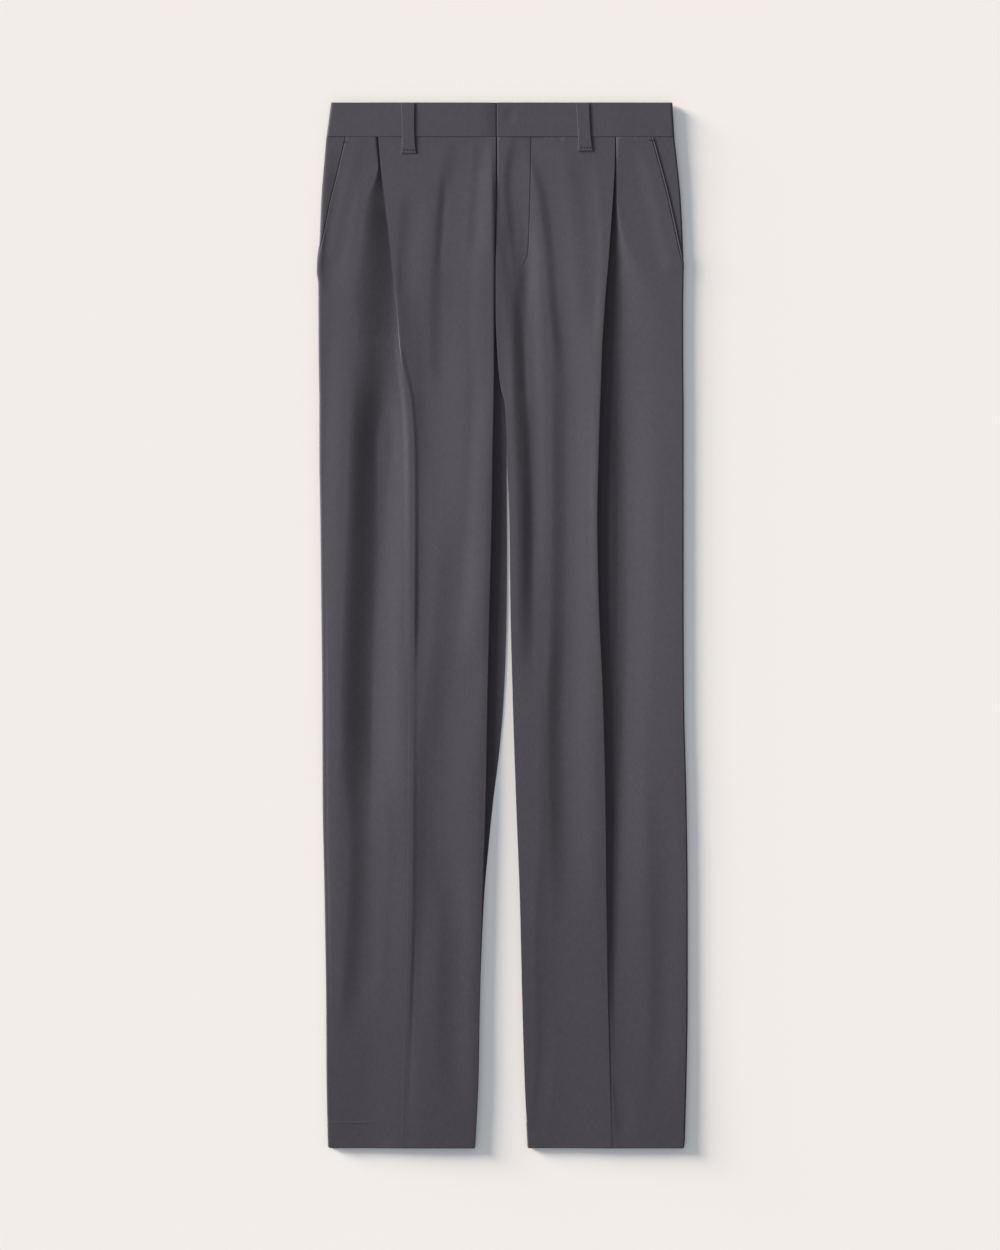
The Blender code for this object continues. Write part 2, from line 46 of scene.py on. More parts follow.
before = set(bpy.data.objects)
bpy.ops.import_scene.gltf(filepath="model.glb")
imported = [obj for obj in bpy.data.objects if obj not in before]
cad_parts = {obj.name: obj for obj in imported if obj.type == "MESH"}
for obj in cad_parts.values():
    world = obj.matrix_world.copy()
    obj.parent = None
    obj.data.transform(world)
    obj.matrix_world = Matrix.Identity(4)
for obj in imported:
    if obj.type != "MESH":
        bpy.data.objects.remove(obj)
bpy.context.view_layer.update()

MM = 0.001
LENGTH = 1100.0
BAND_DEPTH = 36.0
HEM_DEPTH = 27.0
CLOTH = 0.7
BAND_CLOTH = 1.2
SEAM = 0.3
LAYER = CLOTH + SEAM

# The waistband: the heights of its two layers, how far the front one comes down towards the side and from
# which u on, the left half's front edge and the end of the lap, as u, and its gap to the fronts
BAND_BACK = 1.95
BAND_FRONT = 5.95
BAND_SIDE_DROP = 0.3
BAND_DROP_FROM = 110.0
BAND_DROP_OVER = 50.0
BAND_EDGE = -5.5
BAND_LAP_END = 20
WAIST_GAP = 0.15

# How far the waistband lifts the backs off the surface, and the drops between which they come down to it
BACK_RAISED = 1.3
RAISED_TO = 56.0
FLAT_FROM = 112.0

# The hook's pull on the left half of the waistband
HOOK_DENT = 0.35
HOOK_U = 8
HOOK_DROP = 15
HOOK_REACH = 9

# The underlap and the zip, with the tape's length that is free of teeth above and below them
LAP_START = -9.0
LAP_REACH = 14.0
FLY_END = 192.0
ZIP_WIDTH = 10.0
ZIP_TOP = 54.0
ZIP_END = 186.0
TEETH_FROM = 14
TEETH_SHORT = 4
TOOTH_PITCH = 2.2
TOOTH_OFFSET = (0.7, 0.5, 0.25)
TOOTH_SIZE = (2.2, 0.8, 0.7)

# The sewn curve of the fly on the left front: the groove of its stitches, the step beyond them, which fades
# out, the least way from the front's inner edge, and where the grid is split beside it
FLY_CURVE_END = 170.0
FLY_CURVE_FADE = 4
FLY_CLEAR = 8.0
GROOVE_DEPTH = 0.14
GROOVE_WIDTH = 0.55
SEWN_STEP = 0.2
SEWN_STEP_WIDTH = 0.8
SEWN_FADE = 6.0
FLY_SPLITS = (-3.2, -2.2, -1.5, -1.0, -0.6, -0.3, 0.0, 0.3, 0.6, 1.0, 1.5, 2.2, 3.2)

# The hems: the rounded corner, how far the turned-up end keeps clear of the back's inner edge, the ridge that
# it presses into the right front, and where the grid is split beside the sewn line
HEM_CORNER = 2.4
HEM_CORNER_STEP = 0.8
HEM_CLEAR = 3.5
HEM_RIDGE_SPAN = (137.0, 181.0)
HEM_RIDGE_EASE = 3
HEM_RIDGE_WIDTH = 0.7
HEM_SPLITS = (-3.0, -2.0, -1.3, -0.8, -0.4, 0.0, 0.4, 0.8, 1.3, 2.0, 3.0)

# The belt loops, the rear ones by their drops and their way from the centre
LOOP_WIDTH = 14.0
BACK_LOOP_SPREAD = 92.0
BACK_LOOP_TOP = 1.0
BACK_LOOP_END = 52.0

# The slanted pockets: how far the facing goes on under the front and lies below it, how far it lifts the
# front and over which lengths that fades out, and the groove that is sewn along the front's edge
FACING_UNDER = 12.0
FACING_FADE = 16.0
FACING_DROP = 0.2
FACING_ROUND = 5
POCKET_LIFT = 0.55
POCKET_GROOVE = 0.5
POCKET_GROOVE_AT = 1.3
POCKET_GROOVE_WIDTH = 0.55
POCKET_GROOVE_FADE = 5.4
POCKET_SETTLE = 16.0
LIFT_LENGTH = 34.0

# The pleats. FOLD_SQUASH is the share of its radius that a flat turn sticks out. The turns are the angles, in
# degrees, up to which a pleat is soft, from which it is pressed square and from which it lies flat
FOLD_RADIUS = LAYER / 2
FOLD_SQUASH = 0.25
SOFT_TURN = 60.0
PRESSED_TURN = 90.0
PRESSED_EASE = 50
FLAT_TURN = 179.0

# The cloth outside the pleats: its least level stretch, how softly it begins to rise, the width over which
# its soft folds come in, and the share of a fold's length over which it swells up at either end
LEAST_LEVEL = 0.8
DIP_EASE = 0.5
FOLD_WINDOW = 3.0
FOLD_FADE = 0.25

# The edges of the panels: the rolled side, round where ROLL_BOX is 1 and squarer below it, the side seam's
# gap, and the lip at the fly and inseam, which is square from a drop on
ROLL_BOX = 0.6
LEAST_ROLL = 3.0
SEAM_ROLL_GAP = 0.6
LIP_WIDTH = 0.9
LIP_SQUARE_FROM = 80.0
LIP_SQUARE_EASE = 20

# Splits of the grids
ROLL_STEPS = 14
FIELD_STEPS = 46
VALLEY_STEPS = 16
TURN_STEPS = 8
CENTRE_STEPS = 78
BEYOND_FLY = 48
LIP_STEPS = 7
BACK_STEPS = 24
FACING_STEPS = 12
ROW_STEP = 5.0
BACK_ROW_STEP = 8.0
BAND_ROW_STEP = 2.0
STRIP_ROW_STEP = 6.0
FRONT_LOOP_ROW_STEP = 1.8
BACK_LOOP_ROW_STEP = 3.0
PATH_POINTS = 300
ROLL_POINTS = PATH_POINTS // 8

# Degrees between two faces past which their edge is rounded, and past which it is shaded sharp
ROUNDED_PAST = 60
SHARP_PAST = 38

# Stitches, of the fly's curve, of the pockets' bar tacks and of the front belt loops
THREAD_FLATNESS = 0.7
STITCH_LENGTH = 2.4
STITCH_PITCH = 3.0
STITCH_RADIUS = 0.2
STITCH_SUNK = 0.02
STITCH_CLEAR = 1.5
TACK_WIDTH = 4.2
TACK_HEIGHT = 1.1
TACK_STITCHES = 8
TACK_RADIUS = 0.3
TACK_RAISED = 0.03
TACK_SLANT = 0.15
LOOP_STITCHES = (-0.36, -0.13, 0.12, 0.36)
LOOP_STITCH_TOP = 4.7
LOOP_STITCH_END = 2.5
LOOP_STITCH_RADIUS = 0.5
LOOP_STITCH_RAISED = 0.1
LOOP_STITCH_SLANT = 0.1

# The stage, in metres
SUN_DISTANCE = 6
POOL_DISTANCE = 5
CAMERA_SHIFT = (-0.0024, 0.0005)


def smooth_read(x, xs, ys):
    """Read a curve through the rows that never overshoots them."""
    step = np.diff(xs)
    rise = np.diff(ys) / step
    slope = np.concatenate([rise[:1], np.zeros(len(rise) - 1), rise[-1:]])
    for i in range(1, len(rise)):
        if rise[i - 1] * rise[i] > 0:
            slope[i] = 2 * rise[i - 1] * rise[i] / (rise[i - 1] + rise[i])
    x = min(max(x, xs[0]), xs[-1])
    i = min(int(np.searchsorted(xs, x, side="right")) - 1, len(step) - 1)
    t = (x - xs[i]) / step[i]
    return (ys[i] * (1 + 2 * t) * (1 - t) ** 2 + slope[i] * step[i] * t * (1 - t) ** 2
            + ys[i + 1] * t * t * (3 - 2 * t) + slope[i + 1] * step[i] * t * t * (t - 1))


class Table:
    """Rows of named columns, the first of them the drop."""

    def __init__(self, columns, rows):
        values = np.array(rows, float)
        self.column = {name: values[:, i] for i, name in enumerate(columns.split())}

    def read(self, name, drop):
        return smooth_read(drop, self.column["drop"], self.column[name])


# Each leg at a drop. outer and inner are its edges and crease its pleat's fold edge or pressed crease, as
# u. turn is the angle that the pleat's cloth turns through, 180 where it lies folded flat, and flap the
# straight cloth between its two turns. crest is the height of the fold edge, dip and crown the widths over
# which the cloth outside and inside it comes to the height of the field, side or centre. seam is the side
# seam's angle up round the rolled edge.
LEG_COLUMNS = "drop outer inner crease turn flap crest dip crown side centre seam"
RIGHT_SECTIONS = Table(LEG_COLUMNS, (
    (36.3, 185.0, 5.9, 131.0, 180, 16.0, 6.3, 1.2, 10, 6.1, 6.2, 35),
    (66, 187.5, 5.9, 128.5, 180, 13.0, 6.5, 2, 15, 6.1, 6.5, 35),
    (103, 190.5, 6.3, 124.0, 170, 11.0, 6.9, 19, 20, 6.1, 6.9, 12),
    (145, 192.3, 7.2, 119.0, 150, 8.0, 6.8, 30, 22, 6.6, 6.7, 5),
    (178, 195.3, 7.5, 115.7, 135, 5.6, 6.5, 37, 21, 7.0, 6.3, 5),
    (190, 193.7, 7.6, 114.5, 125, 5.0, 6.2, 41, 18, 7.0, 5.9, 5),
    (218, 193.5, 7.8, 111.6, 110, 3.0, 5.6, 45, 14, 7.0, 5.1, 5),
    (240, 193.4, 7.9, 109.6, 92, 1.6, 4.9, 45, 14, 7.0, 4.6, 5),
    (260, 193.3, 8.0, 107.5, 45, 0.5, 4.3, 42, 15, 7.0, 4.1, 5),
    (290, 192.9, 8.2, 104.0, 8, 0.3, 3.9, 40, 14, 7.0, 3.5, 5),
    (317, 192.5, 8.5, 100.6, 6, 0.3, 4.1, 46, 16, 7.0, 3.6, 5),
    (365, 192.5, 9.5, 97.6, 6, 0.4, 4.55, 54, 20, 7.0, 4.3, 5),
    (439, 191.5, 10.5, 97.0, 6, 0.5, 5.05, 60, 20, 7.0, 5.25, 5),
    (530, 190.5, 12.8, 97.3, 6, 0.5, 5.4, 52, 20, 6.9, 5.4, 5),
    (628, 189.5, 15.0, 98.3, 6, 0.5, 5.8, 34, 18, 6.8, 5.5, 10),
    (734, 189.0, 17.0, 98.7, 6, 0.5, 6.5, 25, 16, 5.9, 5.8, 35),
    (839, 187.0, 20.5, 99.3, 6, 0.5, 6.8, 25, 14, 5.4, 6.0, 30),
    (944, 185.5, 23.5, 102.0, 6, 0.5, 6.5, 32, 12, 5.2, 6.3, 10),
    (1028, 185.0, 25.0, 104.5, 6, 0.5, 6.2, 40, 18, 5.0, 6.7, 5),
    (1100, 183.5, 28.5, 106.0, 6, 0.5, 6.3, 42, 21, 5.0, 6.7, 5),
))
LEFT_SECTIONS = Table(LEG_COLUMNS, (
    (36.3, 181.0, -5.5, 119.0, 180, 16.0, 6.2, 1.2, 33, 6.2, 6.2, 50),
    (66, 184.5, -5.5, 118.5, 180, 14.0, 6.3, 2, 39, 5.8, 6.3, 50),
    (103, 188.0, -6.0, 116.5, 168, 11.0, 6.3, 5, 45, 5.2, 6.2, 50),
    (145, 190.0, -6.5, 113.5, 145, 9.0, 6.6, 17, 49, 5.0, 6.0, 40),
    (178, 191.0, -7.0, 111.0, 125, 7.5, 7.0, 39, 51, 5.0, 6.4, 20),
    (218, 190.5, -7.0, 108.0, 110, 5.6, 7.7, 62, 52, 5.0, 6.9, 15),
    (260, 190.5, -5.5, 105.5, 102, 5.1, 8.0, 77, 53, 5.0, 7.0, 15),
    (297, 190.8, -2.1, 104.3, 99, 5.5, 8.1, 85, 55, 5.0, 7.0, 15),
    (317, 191.0, 2.8, 103.5, 98, 5.8, 8.1, 85, 59, 5.0, 7.0, 15),
    (365, 191.0, 5.0, 102.0, 95, 5.8, 8.3, 85, 60, 5.0, 7.0, 15),
    (439, 191.0, 7.5, 100.5, 92, 5.7, 8.2, 85, 54, 5.0, 7.0, 15),
    (523, 191.0, 8.5, 102.0, 88, 5.1, 7.75, 85, 46, 5.0, 7.0, 15),
    (628, 191.5, 11.0, 106.5, 84, 3.9, 6.9, 85, 46, 5.0, 7.0, 35),
    (734, 194.0, 14.5, 109.0, 80, 2.8, 6.4, 75, 49, 5.0, 7.0, 50),
    (839, 195.3, 18.5, 110.0, 66, 1.6, 6.4, 50, 53, 5.0, 7.0, 50),
    (944, 195.3, 21.0, 111.5, 35, 1.0, 6.2, 24, 57, 5.2, 6.4, 50),
    (1028, 194.0, 23.5, 113.5, 20, 0.7, 6.4, 8, 60, 5.9, 5.4, 50),
    (1100, 192.0, 27.0, 115.5, 9, 0.35, 6.5, 3, 59, 6.4, 5.1, 50),
))

# The inner edge of each back panel, as u. Where the right one stands out into the gap between the legs, from
# a drop of about 300 to about 840, its dark cloth is partly the back's inner edge that shows there and partly
# painted shadow: it is drawn wider to stand in for the shade on the floor between the legs.
RIGHT_BACK_EDGE_AND_PAINTED_SHADOW = Table("drop inner", (
    (36.3, 0.15), (285, 0.15), (317, -3.0), (335, -4.3), (400, -4.6), (470, -4.9), (523, -4.7), (576, -3.6),
    (628, -1.4), (681, 3.0), (734, 9.5), (786, 14.8), (839, 19.3), (944, 23.5), (1028, 25.0), (1100, 28.5),
))
LEFT_BACK_EDGE = Table("drop inner", (
    (36.3, 0.15), (285, 0.15), (317, 3.4), (335, 4.7), (365, 5.0), (439, 7.5), (523, 8.5), (628, 11.0),
    (734, 14.5), (839, 18.5), (944, 21.0), (1028, 23.5), (1100, 27.0),
))

# Top of what lies under the inner edges of the front panels: the fly underlap, then the back panels.
SUPPORT = Table("drop top", (
    (36.3, 4.1), (66, 3.8), (103, 3.3), (145, 2.6), (178, 2.35), (200, 2.35), (212, 1.0), (1100, 1.0),
))

# The middle of a front loop's cloth, from its top to its lower end.
FRONT_LOOP = Table("drop level width", (
    (0.6, 7.0, 14.3), (4, 7.1, 14.0), (12, 7.2, 13.4), (24, 7.25, 13.0), (36, 7.15, 13.1), (44, 7.05, 13.6),
    (50, 6.95, 15.0), (54, 6.9, 15.8),
))
FRONT_LOOP_LENGTH = 54

# Where each front loop is sewn: the side, u at its top and at its end, and the drops of both.
FRONT_LOOPS = {"right": (-1, 99.3, 98.6, 0.6, 53.5), "left": (1, 84.4, 87.2, 0.9, 51.0)}

# The soft folds, a row each. The path is its u at four even drops from start to end, rise its height over
# the field, negative in a trough, outer and inner its half widths, and keen how sharp its bottom or top
# is, 0 to 1.
FOLD_COLUMNS = "start end u0 u1 u2 u3 rise outer inner keen"
RIGHT_FOLDS = (
    (230, 785, 125.0, 129.5, 136.5, 139.0, -4.8, 34, 38, 0.2),
    (175, 400, 122.0, 122.0, 125.0, 129.0, -0.6, 32, 18, 0.0),
    (70, 190, 59.0, 62.0, 64.5, 67.0, -0.35, 6, 7, 0.5),
    (675, 1000, 148.5, 142.5, 147.5, 157.0, -1.2, 20, 25, 0.0),
    (175, 635, 91.0, 75.5, 79.0, 90.0, -1.2, 27, 42, 0.0),
    (565, 1040, 83.0, 95.0, 93.0, 101.5, -0.3, 7, 21, 0.0),
    (390, 905, 37.0, 48.0, 66.0, 65.0, -1.3, 28, 39, 0.0),
    (785, 1065, 54.5, 48.5, 51.0, 46.0, -0.7, 21, 19, 0.0),
    (25, 325, 41.5, 57.5, 62.0, 61.5, -0.9, 16, 38, 0.0),
    (90, 215, 94.0, 96.5, 101.0, 101.0, -0.5, 14, 19, 0.0),
    (30, 170, 20.5, 23.0, 26.0, 27.5, -0.6, 11, 15, 0.0),
    (265, 620, 10.5, 16.0, 23.0, 34.0, 1.2, 21, 23, 0.0),
    (240, 1410, 1.5, 12.0, 20.5, 32.0, -0.4, 11, 10, 0.0),
    (20, 350, 13.0, 11.0, 10.5, 6.5, 0.9, 25, 5, 0.0),
    (855, 1080, 97.0, 98.8, 101.5, 104.0, -0.4, 5, 9, 0.0),
    (110, 1080, 155.0, 168.0, 171.0, 161.0, 0.9, 23, 34, 0.0),
    (40, 215, 170.0, 174.5, 181.5, 179.5, -0.7, 12, 25, 0.0),
)
LEFT_FOLDS = (
    (20, 305, 27.5, 51.0, 60.0, 69.5, -1.1, 32, 12, 0.0),
    (110, 535, 23.5, 32.0, 34.0, 33.5, -0.6, 13, 12, 0.0),
    (175, 910, 69.5, 70.5, 66.5, 72.5, -1.75, 33, 20, 0.0),
    (520, 1040, 75.0, 58.0, 58.5, 58.0, -0.9, 48, 21, 0.0),
    (690, 1070, 165.0, 171.0, 170.5, 165.5, -0.5, 20, 19, 0.0),
    (20, 210, 20.5, 10.5, 17.0, 25.0, -0.8, 33, 10, 0.0),
    (770, 1100, 44.0, 41.0, 42.5, 35.5, -0.3, 14, 8, 0.0),
    (1025, 1095, 115.0, 123.5, 125.5, 129.0, -0.4, 18, 9, 0.0),
    (40, 280, 80.5, 88.5, 94.0, 97.0, -0.5, 22, 19, 0.0),
    (85, 635, -11.5, 5.5, 14.0, 15.0, 2.8, 19, 48, 0.0),
    (110, 340, 2.0, 3.0, 4.0, 6.0, -1.3, 16, 22, 0.0),
    (155, 345, 29.0, 22.0, 21.0, 23.0, -0.5, 9, 11, 0.0),
    (100, 330, 21.0, 26.0, 25.5, 28.0, -0.6, 14, 18, 0.0),
    (210, 1050, 120.5, 124.0, 113.5, 123.0, -1.4, 40, 8, 0.0),
)

# Where the stitched curve that holds the zip runs on the left front.
FLY_CURVE = Table("drop u", (
    (36, 30.2), (92, 29.2), (130, 28.2), (150, 27.4), (160, 26.4), (166, 24.6), (170, 22.4), (1100, 22.4),
))

# The front end of the waistband's right half, where it dips under the left half, as u and height.
UNDER_LAP = (
    (-16, 3.55), (-12, 3.55), (-8, 3.55), (-4, 3.6), (0, 3.8), (3, 4.2), (4.6, 4.45), (5.4, 4.6), (6.1, 4.9),
    (6.8, 5.2), (7.8, 5.32), (9, 5.42), (11, 5.56), (13, 5.68), (15, 5.78), (17, 5.86), (20, 5.93),
)


class Leg(NamedTuple):
    """One side of the garment. Its front laps over the other one, or lies under it, at the fly."""
    sign: int
    laps_over: bool
    sections: Table
    folds: tuple
    back_edge: Table
    pocket_slant: float
    pocket_end: float
    pocket_tack: tuple
    band_side: tuple
    crown_ease: float
    crown_window: float
    hem_ridge: float

    def read(self, name, drop):
        return self.sections.read(name, drop)


# A pocket's tack is its u and drop, and the waistband's side its u at the top and at the bottom. crown_ease
# is how softly the cloth inside the fold edge begins to fall, and crown_window the width over which its soft
# folds come in there.
LEGS = {
    "right": Leg(-1, False, RIGHT_SECTIONS, RIGHT_FOLDS, RIGHT_BACK_EDGE_AND_PAINTED_SHADOW, pocket_slant=18.5, pocket_end=160.0,
                 pocket_tack=(165.4, 41.5), band_side=(180.2, 185.0), crown_ease=0.3, crown_window=4.0,
                 hem_ridge=0.2),
    "left": Leg(1, True, LEFT_SECTIONS, LEFT_FOLDS, LEFT_BACK_EDGE, pocket_slant=21.7, pocket_end=168.0,
                pocket_tack=(156.6, 40.0), band_side=(179.0, 181.2), crown_ease=0.5, crown_window=8.0,
                hem_ridge=0.0),
}


def smoothstep(x):
    x = np.clip(x, 0.0, 1.0)
    return x * x * (3 - 2 * x)


def rounded_rise(x, ease):
    """From 0 to 1, eased in as far as ease, 0 to 1, and always eased out."""
    x = np.clip(x, 0.0, 1.0)
    return ease * smoothstep(x) + (1 - ease) * x * (2 - x)


def fold_heights(folds, u, drop):
    """Height that the soft folds add to the field at u."""
    total = np.zeros_like(u)
    for row in folds:
        fold = dict(zip(FOLD_COLUMNS.split(), row))
        along = (drop - fold["start"]) / (fold["end"] - fold["start"])
        if not 0 < along < 1:
            continue
        path = [fold[f"u{i}"] for i in range(4)]
        away = u - smooth_read(along, np.linspace(0, 1, 4), path)
        away = away / np.where(away > 0, fold["outer"], fold["inner"])
        swell = smoothstep(along / FOLD_FADE) * smoothstep((1 - along) / FOLD_FADE)
        soft, keen = (np.clip(1 - form, 0, 1) ** 2 for form in (away * away, np.abs(away)))
        total += fold["rise"] * swell * (soft + fold["keen"] * (keen - soft))
    return total


def back_underside(drop):
    return BACK_RAISED * (1 - smoothstep((drop - RAISED_TO) / (FLAT_FROM - RAISED_TO)))


def offset_path(path, distance):
    """The path moved out from the body by a distance, on the side that faces up and outwards."""
    way = np.gradient(path, axis=0)
    way /= np.linalg.norm(way, axis=1)[:, None]
    out = np.column_stack([way[:, 1], -way[:, 0]])
    return path + out * np.reshape(distance, (-1, 1))


def corner_cut(drop):
    """How far in the side edge has come, where it rounds the corner at the hem."""
    t = np.clip((drop - LENGTH + HEM_CORNER) / HEM_CORNER, 0, 1)
    return HEM_CORNER * (1 - math.sqrt(1 - t * t))


def edge_roll(leg, drop, start, end, steps, inset=0.0):
    """The rolled side edge between two angles, 0 at its outermost line and 90 on top."""
    low = back_underside(drop)
    radius = (leg.read("side", drop) - low) / 2
    angles = np.radians(np.linspace(start, end, steps + 1))
    middle = radius - CLOTH / 2 - inset
    centre = leg.read("outer", drop) - corner_cut(drop) - radius
    across, up = (np.sign(way) * np.abs(way) ** ROLL_BOX for way in (np.cos(angles), np.sin(angles)))
    return np.column_stack([centre + middle * across, low + radius + middle * up])


def seam_angle(leg, drop, way, inset):
    """Angle of the side seam, moved by half of its gap towards the front (+1) or the back (-1)."""
    middle = (leg.read("side", drop) - back_underside(drop) - CLOTH) / 2 - inset
    return leg.read("seam", drop) + way * math.degrees(SEAM_ROLL_GAP / 2 / middle)


def pleat(leg, drop):
    """A pleat's two turns and its flap, inwards and up from the foot at (0, 0), and its radius.

    The flap is cut short where the foot would reach the back panel.
    """
    turn = leg.read("turn", drop)
    radius = FOLD_RADIUS * max(1.0, SOFT_TURN / turn)
    angles = np.radians(np.linspace(0, turn, TURN_STEPS + 1))
    squash = 1 - (1 - FOLD_SQUASH) * smoothstep((turn - SOFT_TURN) / SOFT_TURN)
    first = radius * np.column_stack([-squash * np.sin(angles), 1 - np.cos(angles)])
    pressed = smoothstep((turn - PRESSED_TURN) / PRESSED_EASE)
    upper = (angles > 0) & (angles < math.pi / 2)
    block = np.column_stack([np.where(upper, -squash * radius, first[:, 0]), first[:, 1]])
    block[1, 1] = 0
    last = first + pressed * (block - first)
    room = leg.read("crest", drop) - back_underside(drop) - LAYER - CLOTH - 2 * first[-1, 1]
    length = leg.read("flap", drop)
    if turn < FLAT_TURN:
        length = min(length, room / math.sin(angles[-1]))
    flap = length * np.array([-math.cos(angles[-1]), math.sin(angles[-1])])
    second = first[-1] + flap + last[-1] - last[::-1]
    return np.vstack([first, second]), radius


def pocket_edge(leg, drop):
    """How far round the cloth the pocket edge lies from the side seam."""
    return max(0.0, leg.pocket_slant * (leg.pocket_end - drop) / (leg.pocket_end - BAND_DEPTH))


def covered_to(leg, drop, foot):
    """How far out from the foot the cloth under the pleat's flap stays level."""
    return max(foot[0] + LEAST_LEVEL, leg.read("crease", drop) + SEAM)


def hem_ridge(leg, u, drop):
    """Ridge that the turned-up cloth's edge presses into the front above the hem."""
    low, high = HEM_RIDGE_SPAN
    span = smoothstep((u - low) / HEM_RIDGE_EASE) * smoothstep((high - u) / HEM_RIDGE_EASE)
    return leg.hem_ridge * span * math.exp(-((drop - LENGTH + HEM_DEPTH) / HEM_RIDGE_WIDTH) ** 2)


def side_path(leg, drop, foot, inset=0.0):
    """The front cloth from the side seam over the rolled edge to the pleat's foot."""
    roll = edge_roll(leg, drop, seam_angle(leg, drop, 1, inset), 90, ROLL_POINTS, inset)
    edge_u, field = roll[-1, 0], leg.read("side", drop)
    u = np.linspace(edge_u, foot[0], PATH_POINTS)[1:]
    covered = covered_to(leg, drop, foot)
    dip = 1 - rounded_rise((u - covered) / leg.read("dip", drop), DIP_EASE)
    window = smoothstep((edge_u - u) / FOLD_WINDOW) * smoothstep((u - covered) / FOLD_WINDOW)
    top = field + (foot[1] - field) * dip + fold_heights(leg.folds, u, drop) * window
    top += hem_ridge(leg, u, drop)
    floor = back_underside(drop) + LAYER + CLOTH
    return np.vstack([roll, np.column_stack([u, np.maximum(top, floor) - CLOTH / 2 - inset])])


def sewn_fly(u, curve, drop):
    """How far the stitches pull the cloth down: in a groove, and in a step that fades out beyond it."""
    sewn = smoothstep((FLY_CURVE_END - drop) / FLY_CURVE_FADE)
    groove = GROOVE_DEPTH * np.exp(-((u - curve) / GROOVE_WIDTH) ** 2)
    beyond = np.exp(-np.clip(u - curve, 0, None) / SEWN_FADE)
    return sewn * (groove + SEWN_STEP * smoothstep((u - curve) / SEWN_STEP_WIDTH + 0.5) * beyond)


def centre_path(leg, drop, crest, covers, inset=0.0):
    """The front cloth from the pleat's fold edge inwards, with its inner edge rolled down.

    It stays level as far as it covers the pleat's flap, to the u that covers gives. The front that laps over
    has the fly's stitched curve, and its lip is square where no band or hem holds it.
    """
    rim = SUPPORT.read("top", drop) + SEAM
    inner = leg.read("inner", drop) + CLOTH / 2 + inset
    lip_start = leg.read("inner", drop) + LIP_WIDTH
    curve = max(FLY_CURVE.read("u", drop), leg.read("inner", drop) + FLY_CLEAR)
    splits = curve + np.array(FLY_SPLITS[::-1])
    rest = CENTRE_STEPS - BEYOND_FLY - len(splits)
    u = np.concatenate([np.linspace(crest[0], splits[0], BEYOND_FLY, endpoint=False), splits,
                        np.linspace(splits[-1], lip_start, rest + 2)[1:]])
    field = leg.read("centre", drop)
    crown = 1 - rounded_rise((covers - u) / leg.read("crown", drop), leg.crown_ease)
    window = smoothstep((covers - u) / leg.crown_window)
    top = field + (crest[1] - field) * crown + fold_heights(leg.folds, u, drop) * window
    square = 0.0
    if leg.laps_over:
        top -= sewn_fly(u, curve, drop)
        square = (smoothstep((drop - LIP_SQUARE_FROM) / LIP_SQUARE_EASE)
                  * smoothstep((LENGTH - HEM_DEPTH - drop) / LIP_SQUARE_EASE))
    middle = np.maximum(top, rim + CLOTH) - CLOTH / 2 - inset
    angles = np.radians(np.linspace(0, 90, LIP_STEPS + 1))[1:]
    fall = 1 - np.cos(angles)
    fall[0] *= 1 - square
    across = (lip_start - inner) * (1 - np.sin(angles)) * (1 - square)
    lip = np.column_stack([inner + across, rim + (middle[-1] - rim) * (1 - fall)])
    return np.vstack([np.column_stack([u, middle]), lip])


def lengths_along(path):
    return np.concatenate([[0], np.cumsum(np.linalg.norm(np.diff(path, axis=0), axis=1))])


def resample(path, along, stations):
    return np.column_stack([np.interp(stations, along, path[:, i]) for i in range(2)])


def front_section(leg, drop, inset=0.0):
    """A front panel's section line, from the side seam or pocket edge to the fly or inseam."""
    turns, radius = pleat(leg, drop)
    crest_top = leg.read("crest", drop)
    lean = math.sin(math.radians(min(leg.read("turn", drop), 90)))
    crest = (leg.read("crease", drop) - (radius + CLOTH / 2) * lean, crest_top)
    foot = (crest[0] - turns[-1, 0], crest_top - turns[-1, 1])
    plain = side_path(leg, drop, foot, inset)
    along = lengths_along(plain)
    edge = pocket_edge(leg, drop)
    covered = covered_to(leg, drop, foot)
    settle = smoothstep((along - edge - FACING_UNDER) / FACING_FADE)
    settle *= smoothstep((drop - BAND_DEPTH) / LIFT_LENGTH)
    fade = smoothstep((drop - leg.pocket_end) / POCKET_SETTLE)
    window = smoothstep((plain[:, 0] - covered) / FOLD_WINDOW)
    side = offset_path(plain, POCKET_LIFT * (1 - settle) * (1 - fade) * window)
    roll_end = max(along[ROLL_POINTS], edge + LEAST_ROLL)
    width = min(leg.read("dip", drop), (plain[ROLL_POINTS, 0] - covered) / 2)
    valley = covered + width * np.linspace(1, 0, VALLEY_STEPS + 1)
    valley = np.interp(-valley, -plain[:, 0], along)
    stations = [*np.linspace(edge, roll_end, ROLL_STEPS + 1),
                *np.linspace(roll_end, valley[0], FIELD_STEPS + 1)[1:], *valley[1:], along[-1]]
    side = resample(side, along, stations)
    sewn = smoothstep((leg.pocket_end - drop) / POCKET_GROOVE_FADE)
    groove = np.exp(-((np.array(stations) - edge - POCKET_GROOVE_AT) / POCKET_GROOVE_WIDTH) ** 2)
    side = offset_path(side, -POCKET_GROOVE * sewn * groove)
    turns = turns + (foot[0], foot[1] - CLOTH / 2 - inset)
    covers = min(crest[0], foot[0] - radius - CLOTH)
    centre = centre_path(leg, drop, crest, covers, inset)
    return np.vstack([side[:-1], turns, centre[1:]])


# The column of a front's grid that runs down its pleat's fold edge.
CREASE_COLUMN = ROLL_STEPS + FIELD_STEPS + VALLEY_STEPS + 2 * (TURN_STEPS + 1)


